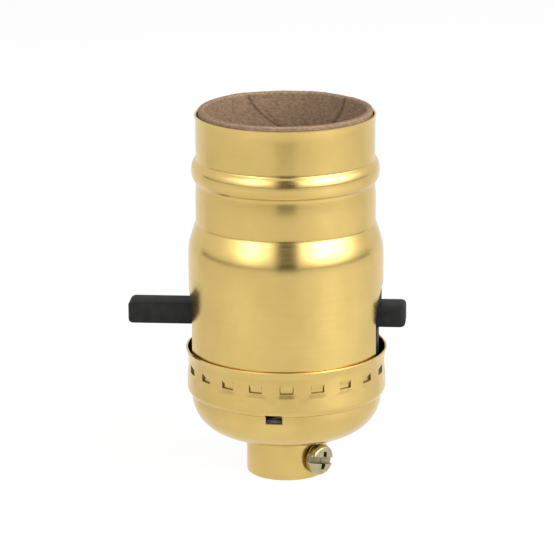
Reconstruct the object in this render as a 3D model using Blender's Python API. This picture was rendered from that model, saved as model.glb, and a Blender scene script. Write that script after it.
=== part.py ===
"""Push-through lamp socket: brass shell and cap around a moulded switch body and an Edison screw shell.

Metres, +Z up, with the push bar along X. Heights here are measured from the hub's lower face. The
empty socket_axis then puts the frame's origin on the flat top of the centre contact.
"""

import math

import bmesh
import bpy

MM = 0.001

# Clearances and stock
SEAT_GAP = 0.3 * MM
LINER_FIT = 0.25 * MM
SHEET = 0.4 * MM
STRIP = 0.6 * MM

# Edison screw shell, sized by the lamp's thread
THREAD_MEAN_R = 12.9 * MM
THREAD_DEPTH = 0.84 * MM
THREAD_PITCH = 3.629 * MM
THREAD_TURNS = 5.25
THREAD_RUN_IN = 1.6 * MM
SHELL_LIP_FLARE = 0.6 * MM
SHELL_LIP_H = 1.2 * MM
SHELL_CORNER_R = 1.4 * MM
SHELL_FLOOR_HOLE_R = 6.4 * MM

# Paper liner
LINER_WALL = 1.0 * MM
LINER_PROUD = 0.65 * MM
LINER_TAIL = 1.0 * MM

# Outer shell
RIM_H = 8.05 * MM
RIM_FLARE = 0.16 * MM
RIM_FLARE_H = 1.2 * MM
BEAD_PROUD = 0.81 * MM
BEAD_RISE = 2.3 * MM
BEAD_FALL = 2.35 * MM
NECK_STEP = 0.12 * MM
NECK_H = 7.65 * MM
SHOULDER_STEP = 1.45 * MM
SHOULDER_H = 5.35 * MM
SHOULDER_ROUND = 0.15 * MM
SHOULDER_ROUND_H = 1.1 * MM
BODY_ABOVE_BAR = 11.75 * MM
SLOT_R = 6.1 * MM
SHELL_ENTRY = 5.9 * MM
SNAP_BEAD_H = 1.9 * MM
SNAP_BEAD_EDGE = 0.63 * MM
NECK_IN_H = 1.7 * MM

# Cap
CAP_STEP = 0.32 * MM
CAP_BELOW_BAR = 6.45 * MM
CAP_LIP = 0.33 * MM
CAP_LIP_H = 1.5 * MM
CAP_BULGE = 0.13 * MM
CAP_BULGE_H = 2.2 * MM
CAP_FILLET_R = 1.5 * MM
CAP_FILLET_DEG = 50
CREASE_H = 0.1 * MM
DOME_INSET = 0.62 * MM
DOME_R = 8.0 * MM
DOME_START_DEG = 6
DOME_END_DEG = 75
CONE_DEG = 17
CATCH_COUNT = 20
CATCH_WIDTH = 2.3 * MM
CATCH_H = 1.6 * MM
CATCH_DEPTH = 0.38 * MM
CATCH_DROP = 2.15 * MM
CATCH_STEP = 0.15 * MM
CATCH_PHASE_DEG = 4.5
CAP_SLOT_WIDTH = 3.05 * MM
CAP_SLOT_H = 1.55 * MM
CAP_SLOT_RISE = 0.65 * MM
CAP_SLOT_CUT = 1.4 * MM
CAP_SLOT_AZIMUTH_DEG = -3.5
FIBRE = 0.6 * MM
FIBRE_SHOW = 0.45 * MM

# Hub and its set screw
HUB_R = 7.4 * MM
HUB_BORE_R = 4.7 * MM
HUB_CHAMFER = 0.3 * MM
HUB_EDGE_R = 0.5 * MM
HUB_NECK_R = 6.0 * MM
HUB_FLANGE_R = 7.4 * MM
HUB_FLANGE_H = 0.8 * MM
SET_SCREW_CLEAR_LOW = 0.88 * MM
SET_SCREW_CLEAR_HIGH = 0.38 * MM
SET_SCREW_AZIMUTH_DEG = 49
SET_SCREW_HEAD_R = 2.87 * MM
SET_SCREW_HEAD_H = 2.15 * MM
SET_SCREW_SHANK_R = 1.65 * MM
SET_SCREW_SLOT = 1.1 * MM
SET_SCREW_SLOT_DEEP = 0.9 * MM
SET_SCREW_CROSS = 1.9 * MM
SET_SCREW_CROSS_DEEP = 0.75 * MM

# Moulded body
WIRING_SPACE = 7.8 * MM
BASE_H = 5.4 * MM
BASE_FLOOR = 1.0 * MM
HOUSING_ROOF = 4.2 * MM
BOSS_INSET = 0.79 * MM
BOSS_SIDE_GAP = 0.6 * MM
FLAT_INSET = 3.72 * MM
CHAMBER_HALF_X = 6.5 * MM
CHAMBER_HALF_Y = 5.6 * MM

# Push bar
BAR_LENGTH = 50.95 * MM
BAR_DEPTH = 5.7 * MM
BAR_H = 3.95 * MM
BAR_TRAVEL = 6.95 * MM
BAR_CHAMFER = 0.35 * MM
BAR_END_CURVE = 1.05 * MM
BAR_END_SHARES = ((0.0, 0.35), (0.16, 0.7), (0.52, 0.88), (1.0, 1.0))
NOTCH_DEPTH = 2.2 * MM
NOTCH_WALL = 0.95 * MM

# Switch rocker, its pin and its spring
PIN_TO_BAR = 10.0 * MM
PIN_R = 1.0 * MM
PIN_LENGTH = 12.8 * MM
ROCKER_ARM = 9.0 * MM
ROCKER_TIP_R = 0.9 * MM
ROCKER_HUB_R = 2.6 * MM
ROCKER_BOSS_R = 2.3 * MM
ROCKER_WIDTH = 3.2 * MM
ROCKER_BOSS_WIDTH = 6.6 * MM
ROCKER_HEEL = 3.2 * MM
ROCKER_HEEL_R = 0.6 * MM
HEEL_SPAN_DEG = (-90, -20)
HUB_SPAN_DEG = (-25, 40)
CARRIER_SPAN_DEG = (-20, 60)
TIP_SPAN_DEG = (-35, 90)
CARRIER_ARM = 6.0 * MM
CARRIER_WALL = 0.6 * MM
BRIDGE_R = 0.6 * MM
SPRING_THICK = 0.3 * MM
SPRING_WIDTH = 4.0 * MM
SPRING_BOW = 0.35 * MM
SPRING_END_RISE = 1.5 * MM
SPRING_END_RUN = 1.2 * MM

# Contacts and terminals
TONGUE_THICK = 0.4 * MM
TONGUE_HALF_WIDTH = 2.5 * MM
TONGUE_FLAT = 3.6 * MM
TONGUE_RISE = 2.2 * MM
TONGUE_REACH = 4.4 * MM
TONGUE_TIP_SHARE = 0.5
TONGUE_SHOULDER_SHARE = 0.33
TAIL_Y = 4.95 * MM
TAIL_LOW_X = -1.4 * MM
TAIL_HIGH_X = 3.0 * MM
TAIL_BELOW_BRIDGE = 0.9 * MM
TERMINAL_HALF_WIDTH = 3.5 * MM
STRAP_HALF_WIDTH = 3.0 * MM
TERMINAL_FOOT = 0.5 * MM
TERMINAL_TAPER = 1.2 * MM
TERMINAL_SCREW_RISE = 3.4 * MM
TERMINAL_HEAD_R = 2.9 * MM
TERMINAL_HEAD_H = 1.7 * MM
TERMINAL_SHANK_R = 1.4 * MM
TERMINAL_SHANK = 4.0 * MM
HOT_RUN_ABOVE_PIN = 3.65 * MM
SHELL_SCREW_Y = 8.2 * MM
SHELL_SCREW_HEAD_R = 1.6 * MM
SHELL_SCREW_HEAD_H = 0.8 * MM
SHELL_SCREW_SHANK_R = 1.0 * MM
SHELL_SCREW_SHANK = 5.0 * MM
BODY_SCREW_INSET = 4.02 * MM
BODY_SCREW_HEAD_R = 2.2 * MM
BODY_SCREW_HEAD_H = 1.3 * MM
BODY_SCREW_SHANK_R = 1.25 * MM
BODY_SCREW_SHANK = 11.6 * MM
SCREW_SLOT = 0.7 * MM
SCREW_EDGE_SHARE = 0.25

# Fineness of the meshes
THREAD_RINGS = 4
THREAD_SIDES = 24
SHELL_SIDES = 44
FINE_SIDES = 36
ROUND_SIDES = 24
SMALL_SIDES = 14
ARCH_STEPS = 15
CURVE_STEPS = 3
LIP_STEPS = 2
DOME_STEPS = 5
SMOOTH_DEG = 35
MERGE = 0.0003 * MM

# Radii that follow, from the lamp's thread outwards
THREAD_OUTER_R = THREAD_MEAN_R + THREAD_DEPTH / 2 + SHEET
SHELL_LIP_R = THREAD_OUTER_R + SHELL_LIP_FLARE
LINER_BORE_R = SHELL_LIP_R + SEAT_GAP
LINER_R = LINER_BORE_R + LINER_WALL
MOULDED_R = LINER_BORE_R - SEAT_GAP
RIM_R = LINER_R + LINER_FIT + SHEET
BEAD_R = RIM_R + BEAD_PROUD
NECK_R = RIM_R + NECK_STEP
BODY_R = NECK_R + SHOULDER_STEP
CAP_R = BODY_R + CAP_STEP
SNAP_NECK_R = CAP_R - SHEET - CATCH_DEPTH - SEAT_GAP
SNAP_BEAD_R = CAP_R - SHEET - SEAT_GAP
BOSS_R = BODY_R - BOSS_INSET
BOSS_HALF_WIDTH = SLOT_R - BOSS_SIDE_GAP
FLAT_Y = MOULDED_R - FLAT_INSET
BODY_SCREW_X = MOULDED_R - BODY_SCREW_INSET

# Heights that follow, from the hub's lower face up
SET_SCREW_Z = SET_SCREW_CLEAR_LOW + SET_SCREW_HEAD_R
HUB_H = SET_SCREW_Z + SET_SCREW_HEAD_R + SET_SCREW_CLEAR_HIGH
FLANGE_TOP_Z = HUB_H + SHEET + SEAT_GAP + HUB_FLANGE_H
BASE_Z = HUB_H + WIRING_SPACE
BASE_TOP_Z = BASE_Z + BASE_H
PIN_Z = BASE_TOP_Z + SEAT_GAP / 2
HOUSING_Z = PIN_Z + SEAT_GAP / 2
BAR_Z = PIN_Z + PIN_TO_BAR
BAR_LOW_Z = BAR_Z - BAR_H / 2
CHANNEL_TOP_Z = BAR_Z + BAR_H / 2 + SEAT_GAP
HOUSING_TOP_Z = CHANNEL_TOP_Z + HOUSING_ROOF
SHELL_FLOOR_Z = HOUSING_TOP_Z + SEAT_GAP
THREAD_LOW_Z = SHELL_FLOOR_Z + SHELL_CORNER_R + SHEET
THREAD_TOP_Z = THREAD_LOW_Z + THREAD_PITCH * THREAD_TURNS
SCREW_SHELL_TOP_Z = THREAD_TOP_Z + SHELL_LIP_H
CONTACT_Z = HOUSING_TOP_Z + TONGUE_RISE
CAP_RIM_Z = BAR_Z - CAP_BELOW_BAR
SHELL_LOW_Z = CAP_RIM_Z - SHELL_ENTRY
CATCH_TOP_Z = CAP_RIM_Z - CATCH_DROP
CATCH_LOW_Z = CATCH_TOP_Z - CATCH_H
SHOULDER_FOOT_Z = BAR_Z + BODY_ABOVE_BAR
SHOULDER_TOP_Z = SHOULDER_FOOT_Z + SHOULDER_H
BEAD_FOOT_Z = SHOULDER_TOP_Z + NECK_H
BEAD_CREST_Z = BEAD_FOOT_Z + BEAD_FALL
BEAD_TOP_Z = BEAD_CREST_Z + BEAD_RISE
SHELL_TOP_Z = BEAD_TOP_Z + RIM_H
LINER_TOP_Z = SHELL_TOP_Z + LINER_PROUD
LINER_LOW_Z = SHELL_LOW_Z + LINER_TAIL

# The switch's motion
BAR_REST_X = -BAR_TRAVEL / 2
ROCKER_TILT = math.asin(BAR_TRAVEL / 2 / ROCKER_ARM)


def arc(centre_r, centre_z, radius, start_deg, end_deg, steps):
    """Points of a round stretch, both ends included."""
    turns = [math.radians(start_deg + (end_deg - start_deg) * i / steps) for i in range(steps + 1)]
    return [(centre_r + radius * math.cos(t), centre_z + radius * math.sin(t)) for t in turns]


def swell(crest, end, steps):
    """Points from a crest, where the wall stands upright, along a parabola to its end."""
    (crest_r, crest_z), (end_r, end_z) = crest, end
    shares = [i / steps for i in range(steps + 1)]
    return [(crest_r + (end_r - crest_r) * s * s, crest_z + (end_z - crest_z) * s) for s in shares]


def blend(start, end, steps):
    """Points of an S-shaped step between two upright walls."""
    (start_r, start_z), (end_r, end_z) = start, end
    shares = [i / steps for i in range(steps + 1)]
    eased = [(1 - math.cos(math.pi * s)) / 2 for s in shares]
    return [(start_r + (end_r - start_r) * e, start_z + (end_z - start_z) * s)
            for s, e in zip(shares, eased)]


def offset(path, distance):
    """The path moved sideways by a distance, to the right of the way it runs, with mitred corners."""
    ways = []
    for (u0, v0), (u1, v1) in zip(path, path[1:]):
        length = math.hypot(u1 - u0, v1 - v0)
        ways.append(((v1 - v0) / length, (u0 - u1) / length))
    moved = []
    for (u, v), (au, av), (bu, bv) in zip(path, ways[:1] + ways, ways + ways[-1:]):
        mitre = distance / (1 + au * bu + av * bv)
        moved.append((u + (au + bu) * mitre, v + (av + bv) * mitre))
    return moved


def sheet_outline(outer):
    """The closed section of a drawn sheet from its outer side, listed from the top down."""
    return outer + offset(outer, SHEET)[::-1]


def even_angles(sides):
    """Directions round the axis, evenly spaced."""
    return [2 * math.pi * i / sides for i in range(sides)]


def turned(outline, angles):
    """A mesh turned about Z from a closed outline of radius and height."""
    mesh = bmesh.new()
    rings = [[mesh.verts.new((r * math.cos(a), r * math.sin(a), z)) for r, z in outline] for a in angles]
    for ring, following in zip(rings, rings[1:] + rings[:1]):
        for i, (r, _) in enumerate(outline):
            j = (i + 1) % len(outline)
            if r > 0 or outline[j][0] > 0:
                mesh.faces.new((ring[i], following[i], following[j], ring[j]))
    bmesh.ops.remove_doubles(mesh, verts=mesh.verts, dist=MERGE)
    return mesh


def along_x(u, v, depth):
    return depth, u, v


def along_y(u, v, depth):
    return u, depth, v


def along_z(u, v, depth):
    return u, v, depth


def prism(outline, low, high, along):
    """A mesh of a flat closed outline pushed from low to high along an axis."""
    mesh = bmesh.new()
    near = [mesh.verts.new(along(u, v, low)) for u, v in outline]
    far = [mesh.verts.new(along(u, v, high)) for u, v in outline]
    mesh.faces.new(near)
    mesh.faces.new(far[::-1])
    for i in range(len(outline)):
        j = (i + 1) % len(outline)
        mesh.faces.new((near[i], near[j], far[j], far[i]))
    return mesh


def box(x0, x1, y0, y1, z0, z1):
    """A rectangular block between two corners."""
    return prism([(x0, y0), (x1, y0), (x1, y1), (x0, y1)], z0, z1, along_z)


def rod(radius, low, high, along=along_z, at=(0.0, 0.0), sides=SMALL_SIDES):
    """A round rod along an axis, through a point of the plane square to it."""
    outline = [(at[0] + radius * math.cos(a), at[1] + radius * math.sin(a)) for a in even_angles(sides)]
    return prism(outline, low, high, along)


def bent_strip(stations, thickness):
    """A strip bent along a path of y and z, from stations of y, z, lowest x and highest x."""
    path = [(y, z) for y, z, _, _ in stations]
    sides = [offset(path, thickness / 2), offset(path, -thickness / 2)]
    mesh = bmesh.new()
    rows = []
    for i, (_, _, low_x, high_x) in enumerate(stations):
        corners = [(x, *sides[face][i]) for x, face in ((low_x, 0), (high_x, 0), (high_x, 1), (low_x, 1))]
        rows.append([mesh.verts.new(corner) for corner in corners])
    for row, following in zip(rows, rows[1:]):
        for i in range(len(row)):
            j = (i + 1) % len(row)
            mesh.faces.new((row[i], following[i], following[j], row[j]))
    mesh.faces.new(rows[0])
    mesh.faces.new(rows[-1][::-1])
    return mesh


def make_material(name, colour, roughness, metallic):
    """A Principled material of one colour."""
    material = bpy.data.materials.new(name)
    material.use_nodes = True
    shader = material.node_tree.nodes["Principled BSDF"]
    shader.inputs["Base Color"].default_value = (*colour, 1.0)
    shader.inputs["Roughness"].default_value = roughness
    shader.inputs["Metallic"].default_value = metallic
    return material


def add_piece(name, mesh, material, location=(0.0, 0.0, 0.0), turn=(0.0, 0.0, 0.0), parent=None):
    """A named object on the socket's axis, or on a parent piece, shaded smooth with crisp edges."""
    bmesh.ops.recalc_face_normals(mesh, faces=mesh.faces)
    data = bpy.data.meshes.new(name)
    mesh.to_mesh(data)
    mesh.free()
    data.shade_smooth()
    data.set_sharp_from_angle(angle=math.radians(SMOOTH_DEG))
    piece = bpy.data.objects.new(name, data)
    bpy.context.scene.collection.objects.link(piece)
    piece.location = location
    piece.rotation_euler = turn
    piece.parent = parent or bpy.data.objects["socket_axis"]
    if material:
        data.materials.append(material)
    return piece


def shape(piece, operation, name, mesh, local=False):
    """Cuts a piece by a hidden solid, or joins or intersects it with one."""
    tool = add_piece(name, mesh, None, parent=piece if local else None)
    tool.hide_render = True
    tool.display_type = "WIRE"
    step = piece.modifiers.new(name, "BOOLEAN")
    step.operation = operation
    step.object = tool
    step.solver = "EXACT"


def arch_outline(radius, low_z):
    """An upside-down U in y and z, its round top centred on the push bar."""
    return arc(0, BAR_Z, radius, 0, 180, ARCH_STEPS) + [(-radius, low_z), (radius, low_z)]


def make_outer_shell(brass):
    rim = [(RIM_R + RIM_FLARE, SHELL_TOP_Z), (RIM_R, SHELL_TOP_Z - RIM_FLARE_H)]
    crest = (BEAD_R, BEAD_CREST_Z)
    bead_top = swell(crest, (RIM_R, BEAD_TOP_Z), CURVE_STEPS)[::-1]
    bead_foot = swell(crest, (NECK_R, BEAD_FOOT_Z), CURVE_STEPS)[1:]
    shoulder = [(NECK_R, SHOULDER_TOP_Z), (BODY_R - SHOULDER_ROUND, SHOULDER_FOOT_Z + SHOULDER_ROUND_H),
                (BODY_R, SHOULDER_FOOT_Z)]
    neck_in = blend((BODY_R, CAP_RIM_Z), (SNAP_NECK_R, CAP_RIM_Z - NECK_IN_H), CURVE_STEPS)
    bead_top_z = SHELL_LOW_Z + SNAP_BEAD_H
    snap = [(SNAP_NECK_R, bead_top_z), (SNAP_BEAD_R, bead_top_z - SNAP_BEAD_EDGE),
            (SNAP_BEAD_R, SHELL_LOW_Z + SNAP_BEAD_EDGE), (SNAP_NECK_R, SHELL_LOW_Z)]
    outer = rim + bead_top + bead_foot + shoulder + neck_in + snap
    shell = add_piece("outer_shell", turned(sheet_outline(outer), even_angles(SHELL_SIDES)), brass)
    slot = prism(arch_outline(SLOT_R, SHELL_LOW_Z - SHEET), -CAP_R, CAP_R, along_x)
    shape(shell, "DIFFERENCE", "shell_slot", slot)


def make_liner(paper):
    outline = [(LINER_R, LINER_TOP_Z), (LINER_R, LINER_LOW_Z), (LINER_BORE_R, LINER_LOW_Z),
               (LINER_BORE_R, LINER_TOP_Z)]
    liner = add_piece("insulating_liner", turned(outline, even_angles(FINE_SIDES)), paper)
    slot = prism(arch_outline(SLOT_R, LINER_LOW_Z - SHEET), -CAP_R, CAP_R, along_x)
    shape(liner, "DIFFERENCE", "liner_slot", slot)


def cap_profile():
    """The cap's outer side, from the rim down to the hole for the hub."""
    land_r = HUB_R + SHEET
    dome_centre_r = CAP_R - DOME_INSET - DOME_R * math.cos(math.radians(DOME_START_DEG))
    dome_end_r = dome_centre_r + DOME_R * math.cos(math.radians(DOME_END_DEG))
    dome_end_z = HUB_H + (dome_end_r - land_r) * math.tan(math.radians(CONE_DEG))
    dome_centre_z = dome_end_z + DOME_R * math.sin(math.radians(DOME_END_DEG))
    dome = arc(dome_centre_r, dome_centre_z, DOME_R, -DOME_START_DEG, -DOME_END_DEG, DOME_STEPS)
    bulge_r = CAP_R + CAP_BULGE
    fillet_drop = CAP_FILLET_R * math.sin(math.radians(CAP_FILLET_DEG))
    fillet_z = dome[0][1] + CREASE_H + fillet_drop
    fillet = arc(bulge_r - CAP_FILLET_R, fillet_z, CAP_FILLET_R, 0, -CAP_FILLET_DEG, CURVE_STEPS)
    lip = swell((CAP_R + CAP_LIP, CAP_RIM_Z), (CAP_R, CAP_RIM_Z - CAP_LIP_H), LIP_STEPS)
    catches = [(CAP_R, CATCH_TOP_Z), (CAP_R, CATCH_LOW_Z), (CAP_R, CATCH_LOW_Z - CATCH_STEP)]
    bulge = [(CAP_R, fillet_z + CAP_BULGE_H), (bulge_r, fillet_z + CAP_BULGE_H / 2)]
    land = [(land_r, HUB_H), (HUB_NECK_R + SEAT_GAP, HUB_H)]
    return lip + catches + bulge + fillet + dome + land


def cap_step_z():
    """Height of the crease between the cap's skirt and its dome."""
    profile = cap_profile()
    crease_r = CAP_R - DOME_INSET
    return min(profile, key=lambda point: abs(point[0] - crease_r))[1]


def catch_angles():
    """Two directions at each side of every catch: one on it and one beside it."""
    half = CATCH_WIDTH / 2 / CAP_R
    step = CATCH_STEP / CAP_R
    centres = [math.radians(CATCH_PHASE_DEG) + turn for turn in even_angles(CATCH_COUNT)]
    return [centre + side for centre in centres for side in (-half - step, -half, half, half + step)]


def press_catches(mesh):
    """Presses the lanced catches in: flush at the top, deepest at a sharp lower edge.

    Above and below the catches the two directions at each side are merged into one.
    """
    half = CATCH_WIDTH / 2 / CAP_R
    step = CATCH_STEP / CAP_R
    spacing = 2 * math.pi / CATCH_COUNT
    for vert in mesh.verts:
        radius = math.hypot(vert.co.x, vert.co.y)
        angle = math.atan2(vert.co.y, vert.co.x)
        beside = (angle - math.radians(CATCH_PHASE_DEG) + spacing / 2) % spacing - spacing / 2
        depth = CATCH_TOP_Z - vert.co.z
        if -MERGE < depth < CATCH_H + CATCH_STEP + MERGE:
            if abs(beside) < half + step / 2 and depth < CATCH_H + MERGE:
                radius -= CATCH_DEPTH * depth / CATCH_H
        else:
            angle += math.copysign(half + step / 2, beside) - beside
        vert.co.x = radius * math.cos(angle)
        vert.co.y = radius * math.sin(angle)
    bmesh.ops.remove_doubles(mesh, verts=mesh.verts, dist=MERGE)


def make_cap(brass):
    mesh = turned(sheet_outline(cap_profile()), catch_angles())
    press_catches(mesh)
    cap = add_piece("cap", mesh, brass)
    low_z = cap_step_z() + CAP_SLOT_RISE - CAP_SLOT_H
    half = CAP_SLOT_WIDTH / 2
    slot = box(-half, half, -CAP_R - CAP_LIP, -CAP_R + CAP_SLOT_CUT, low_z, low_z + CAP_SLOT_H)
    spin = math.radians(CAP_SLOT_AZIMUTH_DEG)
    for vert in slot.verts:
        x, y = vert.co.x, vert.co.y
        vert.co.x = x * math.cos(spin) - y * math.sin(spin)
        vert.co.y = x * math.sin(spin) + y * math.cos(spin)
    shape(cap, "DIFFERENCE", "cap_slot", slot)


def make_cap_liner(fibre):
    """A fibre cup that follows the inside of the dome and shows at the foot of the cap's slot."""
    edge_z = cap_step_z() + CAP_SLOT_RISE - CAP_SLOT_H + FIBRE_SHOW
    inside = offset(cap_profile(), SHEET + SEAT_GAP)
    hole_r = HUB_FLANGE_R + SEAT_GAP
    dome_top_r = CAP_R - DOME_INSET - SHEET - SEAT_GAP
    outer = [(r, z) for r, z in inside if hole_r < r < dome_top_r and z < edge_z]
    outer = [(outer[0][0], edge_z), *outer, (hole_r, outer[-1][1])]
    outline = outer + offset(outer, FIBRE)[::-1]
    add_piece("cap_liner", turned(outline, even_angles(ROUND_SIDES)), fibre)


def add_screw(name, material, place, turn, head, shank, slot):
    """A slotted screw, its head's underside at its origin. Head and shank are radius and length."""
    (head_r, head_h), (shank_r, shank_length) = head, shank
    edge = head_h * SCREW_EDGE_SHARE
    outline = [(0, -shank_length), (shank_r, -shank_length), (shank_r, 0), (head_r, 0),
               (head_r, head_h - edge), (head_r - edge, head_h), (0, head_h)]
    screw = add_piece(name, turned(outline, even_angles(SMALL_SIDES)), material, place, turn)
    slot_wide, slot_deep = slot
    cut = box(-head_r - SHEET, head_r + SHEET, -slot_wide / 2, slot_wide / 2,
              head_h - slot_deep, head_h + SHEET)
    shape(screw, "DIFFERENCE", name + "_slot", cut, local=True)
    return screw


def make_hub(brass):
    neck_low_z = HUB_H - SEAT_GAP
    flange_z = FLANGE_TOP_Z - HUB_FLANGE_H
    edge = arc(HUB_R - HUB_EDGE_R, HUB_EDGE_R, HUB_EDGE_R, -90, 0, CURVE_STEPS)
    outline = [(HUB_BORE_R, HUB_CHAMFER), (HUB_BORE_R + HUB_CHAMFER, 0), *edge, (HUB_R, neck_low_z),
               (HUB_NECK_R, neck_low_z), (HUB_NECK_R, flange_z), (HUB_FLANGE_R, flange_z),
               (HUB_FLANGE_R, FLANGE_TOP_Z), (HUB_BORE_R, FLANGE_TOP_Z)]
    hub = add_piece("threaded_hub", turned(outline, even_angles(FINE_SIDES)), brass)
    hole = rod(SET_SCREW_SHANK_R + SEAT_GAP, HUB_BORE_R / 2, HUB_R + SHEET, along_z)
    turn = math.radians(SET_SCREW_AZIMUTH_DEG)
    for vert in hole.verts:
        x, y, reach = vert.co
        vert.co = (x * math.cos(turn) + reach * math.sin(turn), x * math.sin(turn) - reach * math.cos(turn),
                   SET_SCREW_Z + y)
    shape(hub, "DIFFERENCE", "set_screw_hole", hole)


def make_set_screw(zinc):
    """The hub's set screw, square to the hub's side, with a slot and a shorter cross slot."""
    turn = math.radians(SET_SCREW_AZIMUTH_DEG)
    reach = HUB_R + SEAT_GAP
    place = (reach * math.sin(turn), -reach * math.cos(turn), SET_SCREW_Z)
    shank_length = reach - HUB_BORE_R - SEAT_GAP / 2
    screw = add_screw("set_screw", zinc, place, (math.pi / 2, 0, turn), (SET_SCREW_HEAD_R, SET_SCREW_HEAD_H),
                      (SET_SCREW_SHANK_R, shank_length), (SET_SCREW_SLOT, SET_SCREW_SLOT_DEEP))
    half = SET_SCREW_SLOT / 2
    cross = box(-half, half, -SET_SCREW_CROSS, SET_SCREW_CROSS, SET_SCREW_HEAD_H - SET_SCREW_CROSS_DEEP,
                SET_SCREW_HEAD_H + SHEET)
    shape(screw, "DIFFERENCE", "set_screw_cross", cross, local=True)


def roll_thread(mesh):
    """Rolls the lamp's right-hand thread into both faces of the screw shell, fading out at its ends."""
    for vert in mesh.verts:
        run_in = min(vert.co.z - THREAD_LOW_Z, THREAD_TOP_Z - vert.co.z) / THREAD_RUN_IN
        share = min(max(run_in, 0), 1)
        if share > 0:
            radius = math.hypot(vert.co.x, vert.co.y)
            turns = (vert.co.z - THREAD_LOW_Z) / THREAD_PITCH
            wave = math.cos(2 * math.pi * turns - math.atan2(vert.co.y, vert.co.x))
            scale = 1 + THREAD_DEPTH / 2 * share * wave / radius
            vert.co.x *= scale
            vert.co.y *= scale


def make_screw_shell(aluminium):
    wall_r = THREAD_MEAN_R + SHEET
    lip = blend((SHELL_LIP_R, SCREW_SHELL_TOP_Z), (wall_r, THREAD_TOP_Z), CURVE_STEPS)
    count = round(THREAD_TURNS * THREAD_RINGS)
    rings = [(wall_r, THREAD_TOP_Z - THREAD_PITCH * THREAD_TURNS * i / count) for i in range(1, count + 1)]
    corner_z = SHELL_FLOOR_Z + SHELL_CORNER_R
    corner = arc(wall_r - SHELL_CORNER_R, corner_z, SHELL_CORNER_R, 0, -90, CURVE_STEPS)
    outer = lip + rings + corner + [(SHELL_FLOOR_HOLE_R, SHELL_FLOOR_Z)]
    mesh = turned(sheet_outline(outer), even_angles(THREAD_SIDES))
    roll_thread(mesh)
    shell = add_piece("screw_shell", mesh, aluminium)
    for side, name in ((-1, "front"), (1, "back")):
        hole = rod(SHELL_SCREW_SHANK_R + SEAT_GAP, SHELL_FLOOR_Z - SEAT_GAP,
                   SHELL_FLOOR_Z + SHEET + SEAT_GAP, at=(0, side * SHELL_SCREW_Y))
        shape(shell, "DIFFERENCE", "shell_hole_" + name, hole)


def make_housing(phenolic):
    """Upper moulding: bar channel, switch chamber, a boss on each side and seats for the metal parts."""
    body = rod(MOULDED_R, HOUSING_Z, HOUSING_TOP_Z, sides=FINE_SIDES)
    housing = add_piece("switch_housing", body, phenolic)
    bosses = prism(arch_outline(BOSS_HALF_WIDTH, HOUSING_Z + SEAT_GAP), -CAP_R, CAP_R, along_x)
    shape(housing, "UNION", "side_bosses", bosses)
    shape(housing, "INTERSECT", "boss_round", rod(BOSS_R, BASE_Z, SHELL_FLOOR_Z, sides=FINE_SIDES))
    below = HOUSING_Z - SHEET
    above = HOUSING_TOP_Z + SHEET
    bar_half = BAR_DEPTH / 2 + SEAT_GAP
    rocker_half = ROCKER_BOSS_WIDTH / 2 + SEAT_GAP
    chamber_z = PIN_Z + ROCKER_HUB_R + SEAT_GAP
    run_z = PIN_Z + HOT_RUN_ABOVE_PIN
    run_half = STRIP / 2 + SEAT_GAP
    strap_half = STRAP_HALF_WIDTH + SEAT_GAP
    tail_half = TONGUE_THICK / 2 + SEAT_GAP
    cuts = {
        "flat_front": box(-CAP_R, CAP_R, -CAP_R, -FLAT_Y, below, above),
        "flat_back": box(-CAP_R, CAP_R, FLAT_Y, CAP_R, below, above),
        "bar_channel": box(-CAP_R, CAP_R, -bar_half, bar_half, BAR_LOW_Z - SEAT_GAP, CHANNEL_TOP_Z),
        "rocker_chamber": box(-CHAMBER_HALF_X, CHAMBER_HALF_X, -rocker_half, rocker_half, below, BAR_Z),
        "contact_chamber": box(-CHAMBER_HALF_X, CHAMBER_HALF_X, -CHAMBER_HALF_Y, CHAMBER_HALF_Y,
                               chamber_z, BAR_LOW_Z + SEAT_GAP),
        "hot_run": box(-strap_half, strap_half, -CAP_R, -TAIL_Y, run_z - run_half, run_z + run_half),
        "strap_groove": box(-strap_half, strap_half, SHELL_FLOOR_HOLE_R, CAP_R,
                            HOUSING_TOP_Z - STRIP - SEAT_GAP, above),
        "tail_slot": box(TAIL_LOW_X - SEAT_GAP, TAIL_HIGH_X + SEAT_GAP,
                         TAIL_Y - tail_half, TAIL_Y + tail_half, BAR_LOW_Z, above),
        "pin_seat": rod(PIN_R + SEAT_GAP, -PIN_LENGTH / 2 - SEAT_GAP, PIN_LENGTH / 2 + SEAT_GAP, along_y,
                        at=(0, PIN_Z)),
    }
    for name, mesh in cuts.items():
        shape(housing, "DIFFERENCE", "housing_" + name, mesh)
    for side in (-1, 1):
        shank_end_z = BASE_Z - SEAT_GAP + BODY_SCREW_SHANK
        body_hole = rod(BODY_SCREW_SHANK_R + SEAT_GAP, below, shank_end_z + SEAT_GAP,
                        at=(side * BODY_SCREW_X, 0))
        shape(housing, "DIFFERENCE", f"housing_screw_hole_{side}", body_hole)
        shell_hole_z = SHELL_FLOOR_Z + SHEET - SHELL_SCREW_SHANK
        shell_hole = rod(SHELL_SCREW_SHANK_R + SEAT_GAP, shell_hole_z, above, at=(0, side * SHELL_SCREW_Y))
        shape(housing, "DIFFERENCE", f"housing_shell_screw_hole_{side}", shell_hole)


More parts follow.
